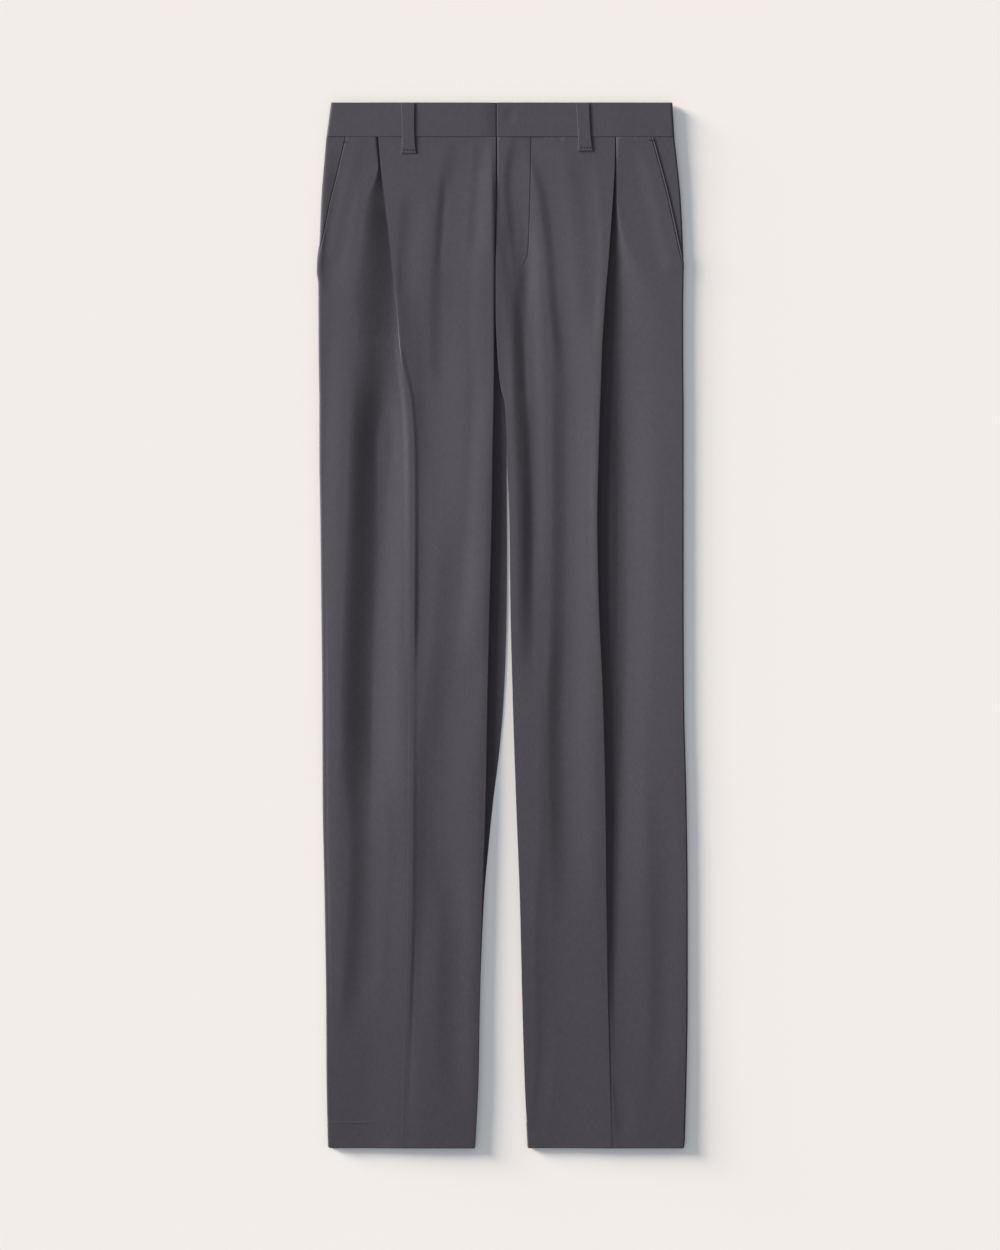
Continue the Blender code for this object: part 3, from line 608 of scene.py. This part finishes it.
def facing_section(leg, drop):
    """A pocket facing's section line, from the side seam to its edge under the front panel."""
    turns, _ = pleat(leg, drop)
    foot = (leg.read("crease", drop), leg.read("crest", drop) - turns[-1, 1])
    side = offset_path(side_path(leg, drop, foot), -FACING_DROP)
    reach = pocket_edge(leg, drop) + FACING_UNDER
    stations = [*np.linspace(0, FACING_ROUND, FACING_STEPS),
                *np.linspace(FACING_ROUND + 1, reach, FACING_STEPS)]
    return resample(side, lengths_along(side), stations)


def back_section(leg, drop, inset=0.0, clear=0.0):
    """A back panel's section line, from the side seam round the rolled edge and in along the surface."""
    roll = edge_roll(leg, drop, seam_angle(leg, drop, -1, inset), -90, ROLL_STEPS, inset)
    u = np.linspace(roll[-1, 0], leg.back_edge.read("inner", drop) + clear, BACK_STEPS + 1)[1:]
    level = back_underside(drop) + CLOTH / 2 + inset
    return np.vstack([roll, np.column_stack([u, np.full(BACK_STEPS, level)])])


def hem_rows():
    """Drop and inset of the rows that turn a panel's end up inside the hem."""
    turn = LENGTH - CLOTH / 2 - FOLD_RADIUS
    angles = np.radians(np.linspace(0, 180, 9))
    rows = [(turn + FOLD_RADIUS * math.sin(a), FOLD_RADIUS * (1 - math.cos(a))) for a in angles]
    return rows + [(drop, LAYER) for drop in np.linspace(turn, LENGTH - HEM_DEPTH, 6)[1:]]


def even_drops(top, end, step=ROW_STEP):
    return list(np.linspace(top, end, max(2, round((end - top) / step) + 1)))


# ---------------------------------------------------------------- materials

THREAD_COLOUR = (0.018, 0.017, 0.021)
TAPE_COLOUR = (0.04, 0.04, 0.045)
TAPE_RIB = 0.0009
METAL_COLOUR = (0.30, 0.30, 0.32)


class Wire:
    """A value in a finish's node tree. Sums and products of wires add Math nodes."""

    def __init__(self, finish, socket):
        self.finish = finish
        self.socket = socket

    def math(self, operation, *others):
        values = dict(enumerate((self, *others)))
        return self.finish.node("ShaderNodeMath", {"operation": operation}, values)

    def __add__(self, other):
        return self.math("ADD", other)

    def __sub__(self, other):
        return self.math("SUBTRACT", other)

    def __mul__(self, other):
        return self.math("MULTIPLY", other)

    def __radd__(self, other):
        return self + other

    def __rmul__(self, other):
        return self * other

    def __rsub__(self, other):
        return self.finish.node("ShaderNodeMath", {"operation": "SUBTRACT"}, {0: other, 1: self})


class Finish:
    """A material and its node tree."""

    def __init__(self, name, roughness, metallic=0.0):
        self.material = bpy.data.materials.new(name)
        self.material.use_nodes = True
        self.tree = self.material.node_tree
        self.shader = self.tree.nodes["Principled BSDF"]
        self.shader.inputs["Roughness"].default_value = roughness
        self.shader.inputs["Metallic"].default_value = metallic

    def node(self, kind, settings=None, inputs=None, output=0):
        made = self.tree.nodes.new(kind)
        for name, value in (settings or {}).items():
            setattr(made, name, value)
        for name, value in (inputs or {}).items():
            self.feed(made.inputs[name], value)
        return Wire(self, made.outputs[output])

    def feed(self, socket, value):
        if isinstance(value, Wire):
            self.tree.links.new(value.socket, socket)
        else:
            socket.default_value = value

    def noise(self, where, scale, detail=2.0, stretch=(1, 1, 1)):
        if stretch != (1, 1, 1):
            where = self.node("ShaderNodeMapping", {}, {"Vector": where, "Scale": stretch})
        return self.node("ShaderNodeTexNoise", {}, {"Vector": where, "Scale": scale, "Detail": detail})

    def cloth_axes(self):
        """The place on the cut cloth, and its two parts: across the cloth and down it."""
        cloth = self.node("ShaderNodeUVMap", {"uv_map": "cloth"})
        across = self.node("ShaderNodeSeparateXYZ", {}, {"Vector": cloth})
        return cloth, across, Wire(self, across.socket.node.outputs["Y"])

    def tint(self, colour, shade):
        """The colour, multiplied by a grey wire."""
        grey = self.node("ShaderNodeCombineColor", {}, {"Red": shade, "Green": shade, "Blue": shade})
        return self.node("ShaderNodeMix", {"data_type": "RGBA", "blend_type": "MULTIPLY"},
                         {0: 1.0, 6: (*colour, 1), 7: grey}, 2)


def suiting(name, settings):
    """Fine twill suiting: a diagonal rib on warp and weft threads, and a little uneven dye.

    The scales of its noises are counts per metre of cloth.
    """
    made = Finish(name, settings.roughness)
    made.shader.inputs["Sheen Weight"].default_value = settings.sheen
    made.shader.inputs["Sheen Roughness"].default_value = 0.5
    made.shader.inputs["Specular IOR Level"].default_value = 0.25
    cloth, across, down = made.cloth_axes()
    turns = 2 * math.pi / settings.rib
    rib = ((across + down) * turns).math("SINE")
    warp = (across * (turns * 2.2)).math("SINE")
    slubs = made.noise(cloth, 900.0, 3.0, (1.0, 0.12, 1.0))
    melange = made.noise(cloth, 420.0, 4.0, (1.0, 0.5, 1.0))
    patches = made.noise(cloth, 14.0, 2.0, (1.0, 0.5, 1.0))
    mottle = made.noise(cloth, 150.0, 3.0, (1.0, 0.6, 1.0))
    shade = (1.0 + (slubs - 0.5) * 0.2 + (melange - 0.5) * 0.28 + (mottle - 0.5) * 0.12
             + (patches - 0.5) * 0.08 + rib * 0.04)
    made.feed(made.shader.inputs["Base Color"], made.tint(settings.colour, shade))
    height = rib * 0.6 + warp * 0.25 + (slubs - 0.5) * 1.2 + (melange - 0.5) * 0.8
    bump = made.node("ShaderNodeBump", {}, {"Strength": 0.35, "Distance": 0.00004, "Height": height})
    made.feed(made.shader.inputs["Normal"], bump)
    return made.material


def thread(name, colour):
    """Twisted sewing thread."""
    made = Finish(name, 0.7)
    where = made.node("ShaderNodeTexCoord", {}, {}, "Object")
    ply = made.noise(where, 2500.0, 2.0)
    made.feed(made.shader.inputs["Base Color"], made.tint(colour, 0.85 + ply * 0.3))
    return made.material


def tape(name, colour, rib_width):
    """Woven zip tape with a rib along it."""
    made = Finish(name, 0.8)
    _, across, _ = made.cloth_axes()
    rib = (across * (2 * math.pi / rib_width)).math("SINE")
    made.feed(made.shader.inputs["Base Color"], made.tint(colour, 1.0 + rib * 0.08))
    bump = made.node("ShaderNodeBump", {}, {"Strength": 0.5, "Distance": 0.0001, "Height": rib})
    made.feed(made.shader.inputs["Normal"], bump)
    return made.material


def dark_metal(name, colour):
    """Blackened metal with a fine brushed grain."""
    made = Finish(name, 0.35, 1.0)
    where = made.node("ShaderNodeTexCoord", {}, {}, "Object")
    grain = made.noise(where, 1500.0, 3.0, (1.0, 0.1, 1.0))
    made.feed(made.shader.inputs["Base Color"], made.tint(colour, 0.85 + grain * 0.3))
    made.feed(made.shader.inputs["Roughness"], 0.28 + grain * 0.16)
    return made.material


def plain_floor(name, colour):
    """Smooth paper sweep."""
    made = Finish(name, 0.95)
    made.shader.inputs["Specular IOR Level"].default_value = 0.0
    where = made.node("ShaderNodeTexCoord", {}, {}, "Object")
    made.feed(made.shader.inputs["Base Color"], made.tint(colour, 0.998 + made.noise(where, 400.0) * 0.004))
    return made.material


def finish_of(name, make, *values):
    return bpy.data.materials.get(name) or make(name, *values)


def cloth_finish(context):
    return finish_of("charcoal_suiting", suiting, context.scene.trousers_cloth)


def metal_finish():
    return finish_of("blackened_metal", dark_metal, METAL_COLOUR)


# ---------------------------------------------------------------- cloth pieces


def add_piece(name, bm, finish, nodes):
    mesh = bpy.data.meshes.new(name)
    bm.to_mesh(mesh)
    bm.free()
    mesh.shade_smooth()
    mesh.materials.append(finish)
    piece = bpy.data.objects.new(name, mesh)
    bpy.context.scene.collection.objects.link(piece)
    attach(piece, "root")
    if nodes:
        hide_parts(*nodes)
    return piece


def settle_modifiers(piece):
    """Work the piece's modifiers into its mesh, and make its edges sharp past an angle."""
    shown = piece.evaluated_get(bpy.context.evaluated_depsgraph_get())
    mesh = bpy.data.meshes.new_from_object(shown)
    old = piece.data
    piece.modifiers.clear()
    piece.data = mesh
    bpy.data.meshes.remove(old)
    mesh.name = piece.name
    mesh.shade_smooth()
    mesh.set_sharp_from_angle(angle=math.radians(SHARP_PAST))


def lay_cloth(name, sign, rows, finish, nodes=(), wall=CLOTH, anchor=0, edge=0.14):
    """A cloth piece: a grid with a row at each drop, through its section line, and a wall round it.

    Its UV map is the cut cloth in metres: across it from the anchor column, and down it.
    """
    columns, count = len(rows[0][1]) - 1, len(rows) - 1
    lines = np.array([line for _, line in rows])
    drops = np.array([drop for drop, _ in rows])
    across = np.array([lengths_along(line) for line in lines])
    middle = np.column_stack([lines[:, anchor], drops])
    down = lengths_along(middle)
    bm = bmesh.new()
    bmesh.ops.create_grid(bm, x_segments=columns, y_segments=count, size=1)
    cells = {}
    for vert in bm.verts:
        row, column = round((vert.co.y + 1) / 2 * count), round((vert.co.x + 1) / 2 * columns)
        cells[vert] = (row, column)
        u, z = lines[row, column]
        vert.co = (sign * u * MM, (LENGTH / 2 - drops[row]) * MM, z * MM)
    layer = bm.loops.layers.uv.new("cloth")
    for face in bm.faces:
        for loop in face.loops:
            row, column = cells[loop.vert]
            loop[layer].uv = ((across[row, column] - across[row, anchor]) * MM, down[row] * MM)
    piece = add_piece(name, bm, finish, nodes)
    solid = piece.modifiers.new("wall", "SOLIDIFY")
    solid.thickness = wall * MM
    solid.offset = 0
    solid.use_even_offset = True
    solid.use_quality_normals = True
    if edge:
        round_edge = piece.modifiers.new("edge", "BEVEL")
        round_edge.width = edge * MM
        round_edge.segments = 1
        round_edge.limit_method = "ANGLE"
        round_edge.angle_limit = math.radians(ROUNDED_PAST)
    settle_modifiers(piece)
    return piece


def rows_of_front(leg):
    """A front's rows, close together at the sewn line of its hem and at the hem's rounded corner."""
    sewn = [LENGTH - HEM_DEPTH + away for away in HEM_SPLITS]
    corner, turned = LENGTH - HEM_CORNER, hem_rows()
    drops = even_drops(BAND_DEPTH + WAIST_GAP, leg.pocket_end) + even_drops(leg.pocket_end, sewn[0])[1:-1]
    drops += sewn + even_drops(sewn[-1], corner)[1:] + even_drops(corner, turned[0][0], HEM_CORNER_STEP)[1:-1]
    places = [(drop, 0.0) for drop in drops] + turned
    return [(drop, front_section(leg, drop, inset)) for drop, inset in places]


def rows_of_back(leg):
    """A back's rows, the ones inside its hem drawn clear of its inner edge."""
    turned = hem_rows()
    drops = even_drops(BAND_DEPTH + SEAM, turned[0][0], BACK_ROW_STEP)[:-1]
    rows = [(drop, back_section(leg, drop)) for drop in drops]
    for drop, inset in turned:
        clear = HEM_CLEAR * min(1.0, 2 * inset / FOLD_RADIUS)
        rows.append((drop, back_section(leg, drop, inset, clear)))
    return rows


class TROUSERS_OT_front_panels(bpy.types.Operator):
    """Lay the two front panels, with their pleats, pressed creases and soft folds"""
    bl_idname = "trousers.front_panels"
    bl_label = "Front panels"

    def execute(self, context):
        for side, leg in LEGS.items():
            lay_cloth(f"front_{side}", leg.sign, rows_of_front(leg), cloth_finish(context),
                      [f"front_panel_{side}"], anchor=CREASE_COLUMN)
        return {"FINISHED"}


class TROUSERS_OT_pocket_facings(bpy.types.Operator):
    """Lay the cloth that shows in each slanted pocket"""
    bl_idname = "trousers.pocket_facings"
    bl_label = "Pocket facings"

    def execute(self, context):
        for side, leg in LEGS.items():
            drops = even_drops(BAND_DEPTH + SEAM, leg.pocket_end)
            rows = [(drop, facing_section(leg, drop)) for drop in drops]
            lay_cloth(f"facing_{side}", leg.sign, rows, cloth_finish(context), [f"pocket_facing_{side}"])
        return {"FINISHED"}


class TROUSERS_OT_back_panels(bpy.types.Operator):
    """Lay the two back panels that the trousers rest on"""
    bl_idname = "trousers.back_panels"
    bl_label = "Back panels"

    def execute(self, context):
        for side, leg in LEGS.items():
            rows = rows_of_back(leg)
            lay_cloth(f"back_{side}", leg.sign, rows, cloth_finish(context), [f"back_panel_{side}"])
        return {"FINISHED"}


def hook_dent(u, drop):
    """How deep the hook under the left half pulls the waistband in."""
    across, down = (u - HOOK_U) / HOOK_REACH, (drop - HOOK_DROP) / HOOK_REACH
    return HOOK_DENT * max(0.0, 1 - across ** 2 - down ** 2) ** 2


def band_section(leg, drop):
    """Half of the waistband from its front edge round the side fold to the centre back seam."""
    top, bottom = leg.band_side
    side = top + (bottom - top) * drop / BAND_DEPTH - BAND_CLOTH / 2
    radius = (BAND_FRONT - BAND_SIDE_DROP - BAND_BACK) / 2
    front = list(UNDER_LAP)
    if leg.laps_over:
        front = [(u, BAND_FRONT - hook_dent(u, drop)) for u in np.linspace(BAND_EDGE, BAND_LAP_END, 26)]
    front += [(u, BAND_FRONT - BAND_SIDE_DROP * smoothstep((u - BAND_DROP_FROM) / BAND_DROP_OVER))
              for u in np.linspace(BAND_LAP_END + 4, side - radius - 2, 32)]
    angles = np.radians(np.linspace(90, -90, 15))
    fold = [(side - radius + radius * math.cos(a), BAND_BACK + radius + radius * math.sin(a)) for a in angles]
    back = [(u, BAND_BACK) for u in np.linspace(side - radius - 4, SEAM / 2, 12)]
    return np.array(front + fold + back)


class TROUSERS_OT_waistband(bpy.types.Operator):
    """Lay the two halves of the waistband, lapped left over right"""
    bl_idname = "trousers.waistband"
    bl_label = "Waistband"

    def execute(self, context):
        for side, leg in LEGS.items():
            rows = [(drop, band_section(leg, drop)) for drop in even_drops(0, BAND_DEPTH, BAND_ROW_STEP)]
            lay_cloth(f"waistband_{side}_cloth", leg.sign, rows, cloth_finish(context), [f"waistband_{side}"],
                      wall=BAND_CLOTH, edge=0.35)
        return {"FINISHED"}


def strip_rows(left, right, top, end):
    """The rows of a straight strip whose top follows what carries the fronts' inner edges."""
    across = np.linspace(left, right, 5)
    return [(drop, np.column_stack([across, np.full(5, SUPPORT.read("top", drop) - CLOTH / 2)]))
            for drop in even_drops(top, end, STRIP_ROW_STEP)]


class TROUSERS_OT_fly(bpy.types.Operator):
    """Lay the fly underlap and the zip behind the fly edge, and finish the hook and bar"""
    bl_idname = "trousers.fly"
    bl_label = "Fly and closure"

    def execute(self, context):
        underlap = strip_rows(LAP_START, LAP_REACH, BAND_DEPTH + SEAM, FLY_END)
        lay_cloth("fly_underlap_cloth", 1, underlap, cloth_finish(context), ["fly_underlap"])
        left = LAP_REACH + SEAM
        lay_cloth("zip_tape_strip", 1, strip_rows(left, left + ZIP_WIDTH, ZIP_TOP, ZIP_END),
                  finish_of("zip_tape", tape, TAPE_COLOUR, TAPE_RIB), ["fly_zip"])
        for name in ("fly_zip_slider", "waist_hook", "waist_bar"):
            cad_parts[name].data.materials.clear()
            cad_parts[name].data.materials.append(metal_finish())
        return {"FINISHED"}


def rows_of_front_loop(top_u, end_u, top, end):
    rows = []
    for drop in even_drops(top, end, FRONT_LOOP_ROW_STEP):
        middle = top_u + (end_u - top_u) * (drop - top) / (end - top)
        at = drop + FRONT_LOOP_LENGTH - end
        level, width = FRONT_LOOP.read("level", at), FRONT_LOOP.read("width", at)
        rows.append((drop, np.column_stack([middle + width * np.linspace(-0.5, 0.5, 9), np.full(9, level)])))
    return rows


def rows_of_back_loop(middle):
    line = np.column_stack([middle + LOOP_WIDTH * np.linspace(-0.5, 0.5, 7), np.full(7, CLOTH / 2)])
    return [(drop, line) for drop in even_drops(BACK_LOOP_TOP, BACK_LOOP_END, BACK_LOOP_ROW_STEP)]


class TROUSERS_OT_belt_loops(bpy.types.Operator):
    """Sew the two belt loops in front and the three behind"""
    bl_idname = "trousers.belt_loops"
    bl_label = "Belt loops"

    def execute(self, context):
        cloth = cloth_finish(context)
        for side, (sign, *place) in FRONT_LOOPS.items():
            name = f"belt_loop_front_{side}"
            lay_cloth(name + "_cloth", sign, rows_of_front_loop(*place), cloth, [name], edge=0.3)
        for side, way in (("right", -1), ("centre", 0), ("left", 1)):
            name = f"belt_loop_back_{side}"
            lay_cloth(name + "_cloth", 1, rows_of_back_loop(way * BACK_LOOP_SPREAD), cloth, [name])
        return {"FINISHED"}


# ---------------------------------------------------------------- sewing


def face_height(leg, drop, u):
    """Height of a front panel's outer face at a point."""
    line = front_section(leg, drop)
    outside = u > leg.read("crease", drop)
    part = line[ROLL_STEPS:ROLL_STEPS + FIELD_STEPS] if outside else line[CREASE_COLUMN:]
    return float(np.interp(-u, -part[:, 0], part[:, 1])) + CLOTH / 2


def add_stitch(bm, start, end, radius):
    """One stitch: a bar of thread that tapers into the cloth at both ends. Points are (x, drop, z)."""
    start, end = (Vector((x, LENGTH / 2 - drop, z)) * MM for x, drop, z in (start, end))
    way = end - start
    turn = way.to_track_quat("X", "Z").to_matrix().to_4x4()
    size = Matrix.Diagonal((way.length / 2, radius * MM, radius * THREAD_FLATNESS * MM, 1))
    matrix = Matrix.Translation((start + end) / 2) @ turn @ size
    bmesh.ops.create_uvsphere(bm, u_segments=8, v_segments=6, radius=1, matrix=matrix)


def sew_fly_curve(bm):
    leg, top = LEGS["left"], BAND_DEPTH + STITCH_CLEAR
    for drop in np.arange(top, FLY_CURVE_END - STITCH_LENGTH, STITCH_PITCH):
        points = [(FLY_CURVE.read("u", at), at) for at in (drop, drop + STITCH_LENGTH)]
        add_stitch(bm, *((u, at, face_height(leg, at, u) - STITCH_SUNK) for u, at in points), STITCH_RADIUS)


def sew_pocket_tack(bm, leg):
    """A row of short stitches side by side, across the top of the pocket."""
    u, drop = leg.pocket_tack
    z = face_height(leg, drop, u) + TACK_RAISED
    for along in np.linspace(-0.5, 0.5, TACK_STITCHES):
        x, half = leg.sign * u + TACK_WIDTH * along, TACK_HEIGHT / 2
        add_stitch(bm, (x, drop - half, z), (x + TACK_SLANT, drop + half, z), TACK_RADIUS)


def sew_loop_end(bm, middle, end):
    level = FRONT_LOOP.read("level", FRONT_LOOP_LENGTH - (LOOP_STITCH_TOP + LOOP_STITCH_END) / 2)
    z = level + CLOTH / 2 + LOOP_STITCH_RAISED
    for along in LOOP_STITCHES:
        x = middle + LOOP_WIDTH * along
        add_stitch(bm, (x, end - LOOP_STITCH_TOP, z), (x + LOOP_STITCH_SLANT, end - LOOP_STITCH_END, z),
                   LOOP_STITCH_RADIUS)


def set_zip_teeth(bm):
    """Two rows of teeth along the middle of the tape, each tooth a small block."""
    middle = LAP_REACH + SEAM + ZIP_WIDTH / 2
    aside, shift, up = TOOTH_OFFSET
    for drop in even_drops(ZIP_TOP + TEETH_FROM, ZIP_END - TEETH_SHORT, TOOTH_PITCH):
        z = SUPPORT.read("top", drop) + up
        for way in (-1, 1):
            place = Vector((middle + way * aside, LENGTH / 2 - drop - way * shift, z)) * MM
            matrix = Matrix.Translation(place) @ Matrix.Diagonal((*TOOTH_SIZE, 1))
            bmesh.ops.create_cube(bm, size=MM, matrix=matrix)


class TROUSERS_OT_stitching(bpy.types.Operator):
    """Sew the fly curve and the ends of the pockets and front loops, and set the teeth of the zip"""
    bl_idname = "trousers.stitching"
    bl_label = "Stitching"

    def execute(self, context):
        bm = bmesh.new()
        sew_fly_curve(bm)
        for leg in LEGS.values():
            sew_pocket_tack(bm, leg)
        for sign, _, end_u, _, end in FRONT_LOOPS.values():
            sew_loop_end(bm, sign * end_u, end)
        add_piece("stitching", bm, finish_of("thread", thread, THREAD_COLOUR), [])
        bm = bmesh.new()
        set_zip_teeth(bm)
        add_piece("zip_teeth", bm, metal_finish(), [])
        return {"FINISHED"}


# ---------------------------------------------------------------- stage


def from_left(height, turn):
    """Direction towards a light on the left at an angle over the floor, turned towards the waist."""
    return np.array([-math.cos(height) * math.cos(turn), math.cos(height) * math.sin(turn), math.sin(height)])


def add_light(name, kind, settings, place, aim, receives):
    """A light at a place, turned to a point, that falls only on the pieces that receive it."""
    data = bpy.data.lights.new(name, kind)
    for key, value in settings.items():
        setattr(data, key, value)
    light = bpy.data.objects.new(name, data)
    light.location = place
    way = np.array(aim, float) - np.array(place, float)
    yaw = math.atan2(way[1], way[0]) - math.pi / 2
    pitch = math.atan2(way[2], math.hypot(way[0], way[1])) + math.pi / 2
    light.rotation_euler = (pitch, 0, yaw)
    light.visible_camera = False
    bpy.context.scene.collection.objects.link(light)
    light.light_linking.receiver_collection = receives


def add_lights(stage, on_cloth, on_floor):
    origin, pool = (0, 0, 0), np.array([0, stage.pool_height, 0])
    add_light("key_on_cloth", "SUN", {"energy": stage.key, "angle": stage.softness},
              SUN_DISTANCE * from_left(stage.key_height, stage.key_turn), origin, on_cloth)
    add_light("pool_on_cloth", "SPOT", {"energy": stage.pool, "spot_size": stage.pool_size, "spot_blend": 1.0,
                                        "shadow_soft_size": 0.6},
              pool + POOL_DISTANCE * from_left(stage.key_height, 0), pool, on_cloth)
    add_light("key_on_floor", "SUN", {"energy": stage.floor_key, "angle": stage.floor_softness,
                                      "color": stage.floor_key_colour},
              SUN_DISTANCE * from_left(stage.floor_key_height, stage.floor_turn), origin, on_floor)
    add_light("fill_on_floor", "SUN", {"energy": stage.floor_fill, "angle": math.radians(160),
                                       "color": stage.floor_fill_colour},
              (0, 0, SUN_DISTANCE), (0, 0.001, 0), on_floor)


def group(name, pieces):
    made = bpy.data.collections.new(name)
    for piece in pieces:
        made.objects.link(piece)
    return made


def add_floor(stage):
    bm = bmesh.new()
    bmesh.ops.create_grid(bm, x_segments=8, y_segments=8, size=stage.floor_size / 2)
    mesh = bpy.data.meshes.new("floor")
    bm.to_mesh(mesh)
    bm.free()
    floor = bpy.data.objects.new("floor", mesh)
    mesh.materials.append(finish_of("floor_paper", plain_floor, stage.floor_colour))
    bpy.context.scene.collection.objects.link(floor)
    return floor


def add_camera(stage):
    data = bpy.data.cameras.new("camera")
    data.lens = 70.0
    data.sensor_width = 36.0
    camera = bpy.data.objects.new("camera", data)
    camera.location = (*CAMERA_SHIFT, stage.camera_height)
    bpy.context.scene.collection.objects.link(camera)
    bpy.context.scene.camera = camera


class TROUSERS_OT_stage(bpy.types.Operator):
    """Set the plain floor, the soft lights and the camera"""
    bl_idname = "trousers.stage"
    bl_label = "Stage"

    def execute(self, context):
        stage = context.scene.trousers_stage
        garment = [piece for piece in bpy.data.objects if piece.type == "MESH"]
        floor = add_floor(stage)
        world = bpy.data.worlds.new("studio")
        world.use_nodes = True
        background = world.node_tree.nodes["Background"]
        background.inputs["Color"].default_value = (*stage.sky_colour, 1)
        background.inputs["Strength"].default_value = stage.sky
        context.scene.world = world
        on_cloth, on_floor = group("lit_garment", garment), group("lit_floor", [floor])
        add_lights(stage, on_cloth, on_floor)
        add_camera(stage)
        context.scene.view_settings.view_transform = "Standard"
        return {"FINISHED"}


# ---------------------------------------------------------------- add-on


class TrousersCloth(bpy.types.PropertyGroup):
    colour: bpy.props.FloatVectorProperty(
        name="Colour", description="Dyed colour of the suiting", subtype="COLOR", size=3, min=0, max=1,
        default=(0.0865, 0.0795, 0.0965))
    roughness: bpy.props.FloatProperty(
        name="Roughness", description="How matte the suiting is", subtype="FACTOR", min=0, max=1,
        default=0.85)
    sheen: bpy.props.FloatProperty(
        name="Sheen", description="Soft gloss of the fibres", subtype="FACTOR", min=0, max=1, default=0.05)
    rib: bpy.props.FloatProperty(
        name="Twill rib", description="Distance between the twill's ribs, measured across", unit="LENGTH",
        min=0.0002, max=0.005, default=0.0009)


class TrousersStage(bpy.types.PropertyGroup):
    floor_size: bpy.props.FloatProperty(
        name="Floor", description="Side of the floor", unit="LENGTH", min=2, default=16.0)
    floor_colour: bpy.props.FloatVectorProperty(
        name="Floor colour", description="Colour of the paper", subtype="COLOR", size=3, min=0, max=1,
        default=(0.86, 0.827, 0.804))
    sky_colour: bpy.props.FloatVectorProperty(
        name="Sky colour", description="Colour of the light from all round", subtype="COLOR", size=3, min=0,
        max=1, default=(1.0, 1.0, 1.0))
    sky: bpy.props.FloatProperty(
        name="Sky", description="Strength of the light from all round", min=0, default=0.24)
    key: bpy.props.FloatProperty(
        name="Key", description="Strength of the low light on the cloth", min=0, default=4.75)
    pool: bpy.props.FloatProperty(
        name="Pool", description="Strength of the light that fades towards the ends", unit="POWER", min=0,
        default=1920.0)
    pool_size: bpy.props.FloatProperty(
        name="Pool size", description="Opening of that light's beam", subtype="ANGLE",
        default=math.radians(13.7))
    pool_height: bpy.props.FloatProperty(
        name="Pool height", description="Where along the garment it is centred", unit="LENGTH", default=0.26)
    key_height: bpy.props.FloatProperty(
        name="Key height", description="Angle of the key light over the floor", subtype="ANGLE",
        default=math.radians(14))
    key_turn: bpy.props.FloatProperty(
        name="Key turn", description="Angle of the key light up from the left", subtype="ANGLE",
        default=math.radians(33))
    softness: bpy.props.FloatProperty(
        name="Softness", description="Apparent width of the key light", subtype="ANGLE",
        default=math.radians(24))
    floor_key: bpy.props.FloatProperty(
        name="Floor key", description="Strength of the low light on the floor", min=0, default=10.74)
    floor_key_height: bpy.props.FloatProperty(
        name="Floor key height", description="Its angle over the floor", subtype="ANGLE",
        default=math.radians(10))
    floor_turn: bpy.props.FloatProperty(
        name="Floor key turn", description="Its angle up from the left", subtype="ANGLE",
        default=math.radians(28))
    floor_softness: bpy.props.FloatProperty(
        name="Floor softness", description="Its apparent width", subtype="ANGLE", default=math.radians(21))
    floor_key_colour: bpy.props.FloatVectorProperty(
        name="Floor key colour", description="Colour of the low light on the floor", subtype="COLOR", size=3,
        min=0, max=1, default=(1.0, 0.899, 0.799))
    floor_fill: bpy.props.FloatProperty(
        name="Floor fill", description="Strength of the light from above on the floor", min=0, default=0.944)
    floor_fill_colour: bpy.props.FloatVectorProperty(
        name="Floor fill colour", description="Colour of the light from above on the floor", subtype="COLOR",
        size=3, min=0, max=1, default=(0.695, 0.847, 1.0))
    camera_height: bpy.props.FloatProperty(
        name="Camera height", description="Height of the camera over the floor", unit="LENGTH", default=2.562)


OPERATORS = (
    TROUSERS_OT_back_panels, TROUSERS_OT_pocket_facings, TROUSERS_OT_front_panels, TROUSERS_OT_fly,
    TROUSERS_OT_waistband, TROUSERS_OT_belt_loops, TROUSERS_OT_stitching, TROUSERS_OT_stage,
)


class TROUSERS_PT_panel(bpy.types.Panel):
    bl_idname = "TROUSERS_PT_panel"
    bl_label = "Pleated trousers"
    bl_space_type = "VIEW_3D"
    bl_region_type = "UI"
    bl_category = "Trousers"

    def draw(self, context):
        for settings in (context.scene.trousers_cloth, context.scene.trousers_stage):
            box = self.layout.box()
            for name in settings.bl_rna.properties.keys():
                if name not in ("rna_type", "name"):
                    box.prop(settings, name)
        for operator in OPERATORS:
            self.layout.operator(operator.bl_idname)


CLASSES = (TrousersCloth, TrousersStage, *OPERATORS, TROUSERS_PT_panel)


def register():
    for cls in CLASSES:
        bpy.utils.register_class(cls)
    bpy.types.Scene.trousers_cloth = bpy.props.PointerProperty(type=TrousersCloth)
    bpy.types.Scene.trousers_stage = bpy.props.PointerProperty(type=TrousersStage)


def unregister():
    del bpy.types.Scene.trousers_stage
    del bpy.types.Scene.trousers_cloth
    for cls in reversed(CLASSES):
        bpy.utils.unregister_class(cls)


def main():
    register()
    for operator in OPERATORS:
        getattr(bpy.ops.trousers, operator.bl_idname.split(".")[1])()


if __name__ == "__main__":
    main()
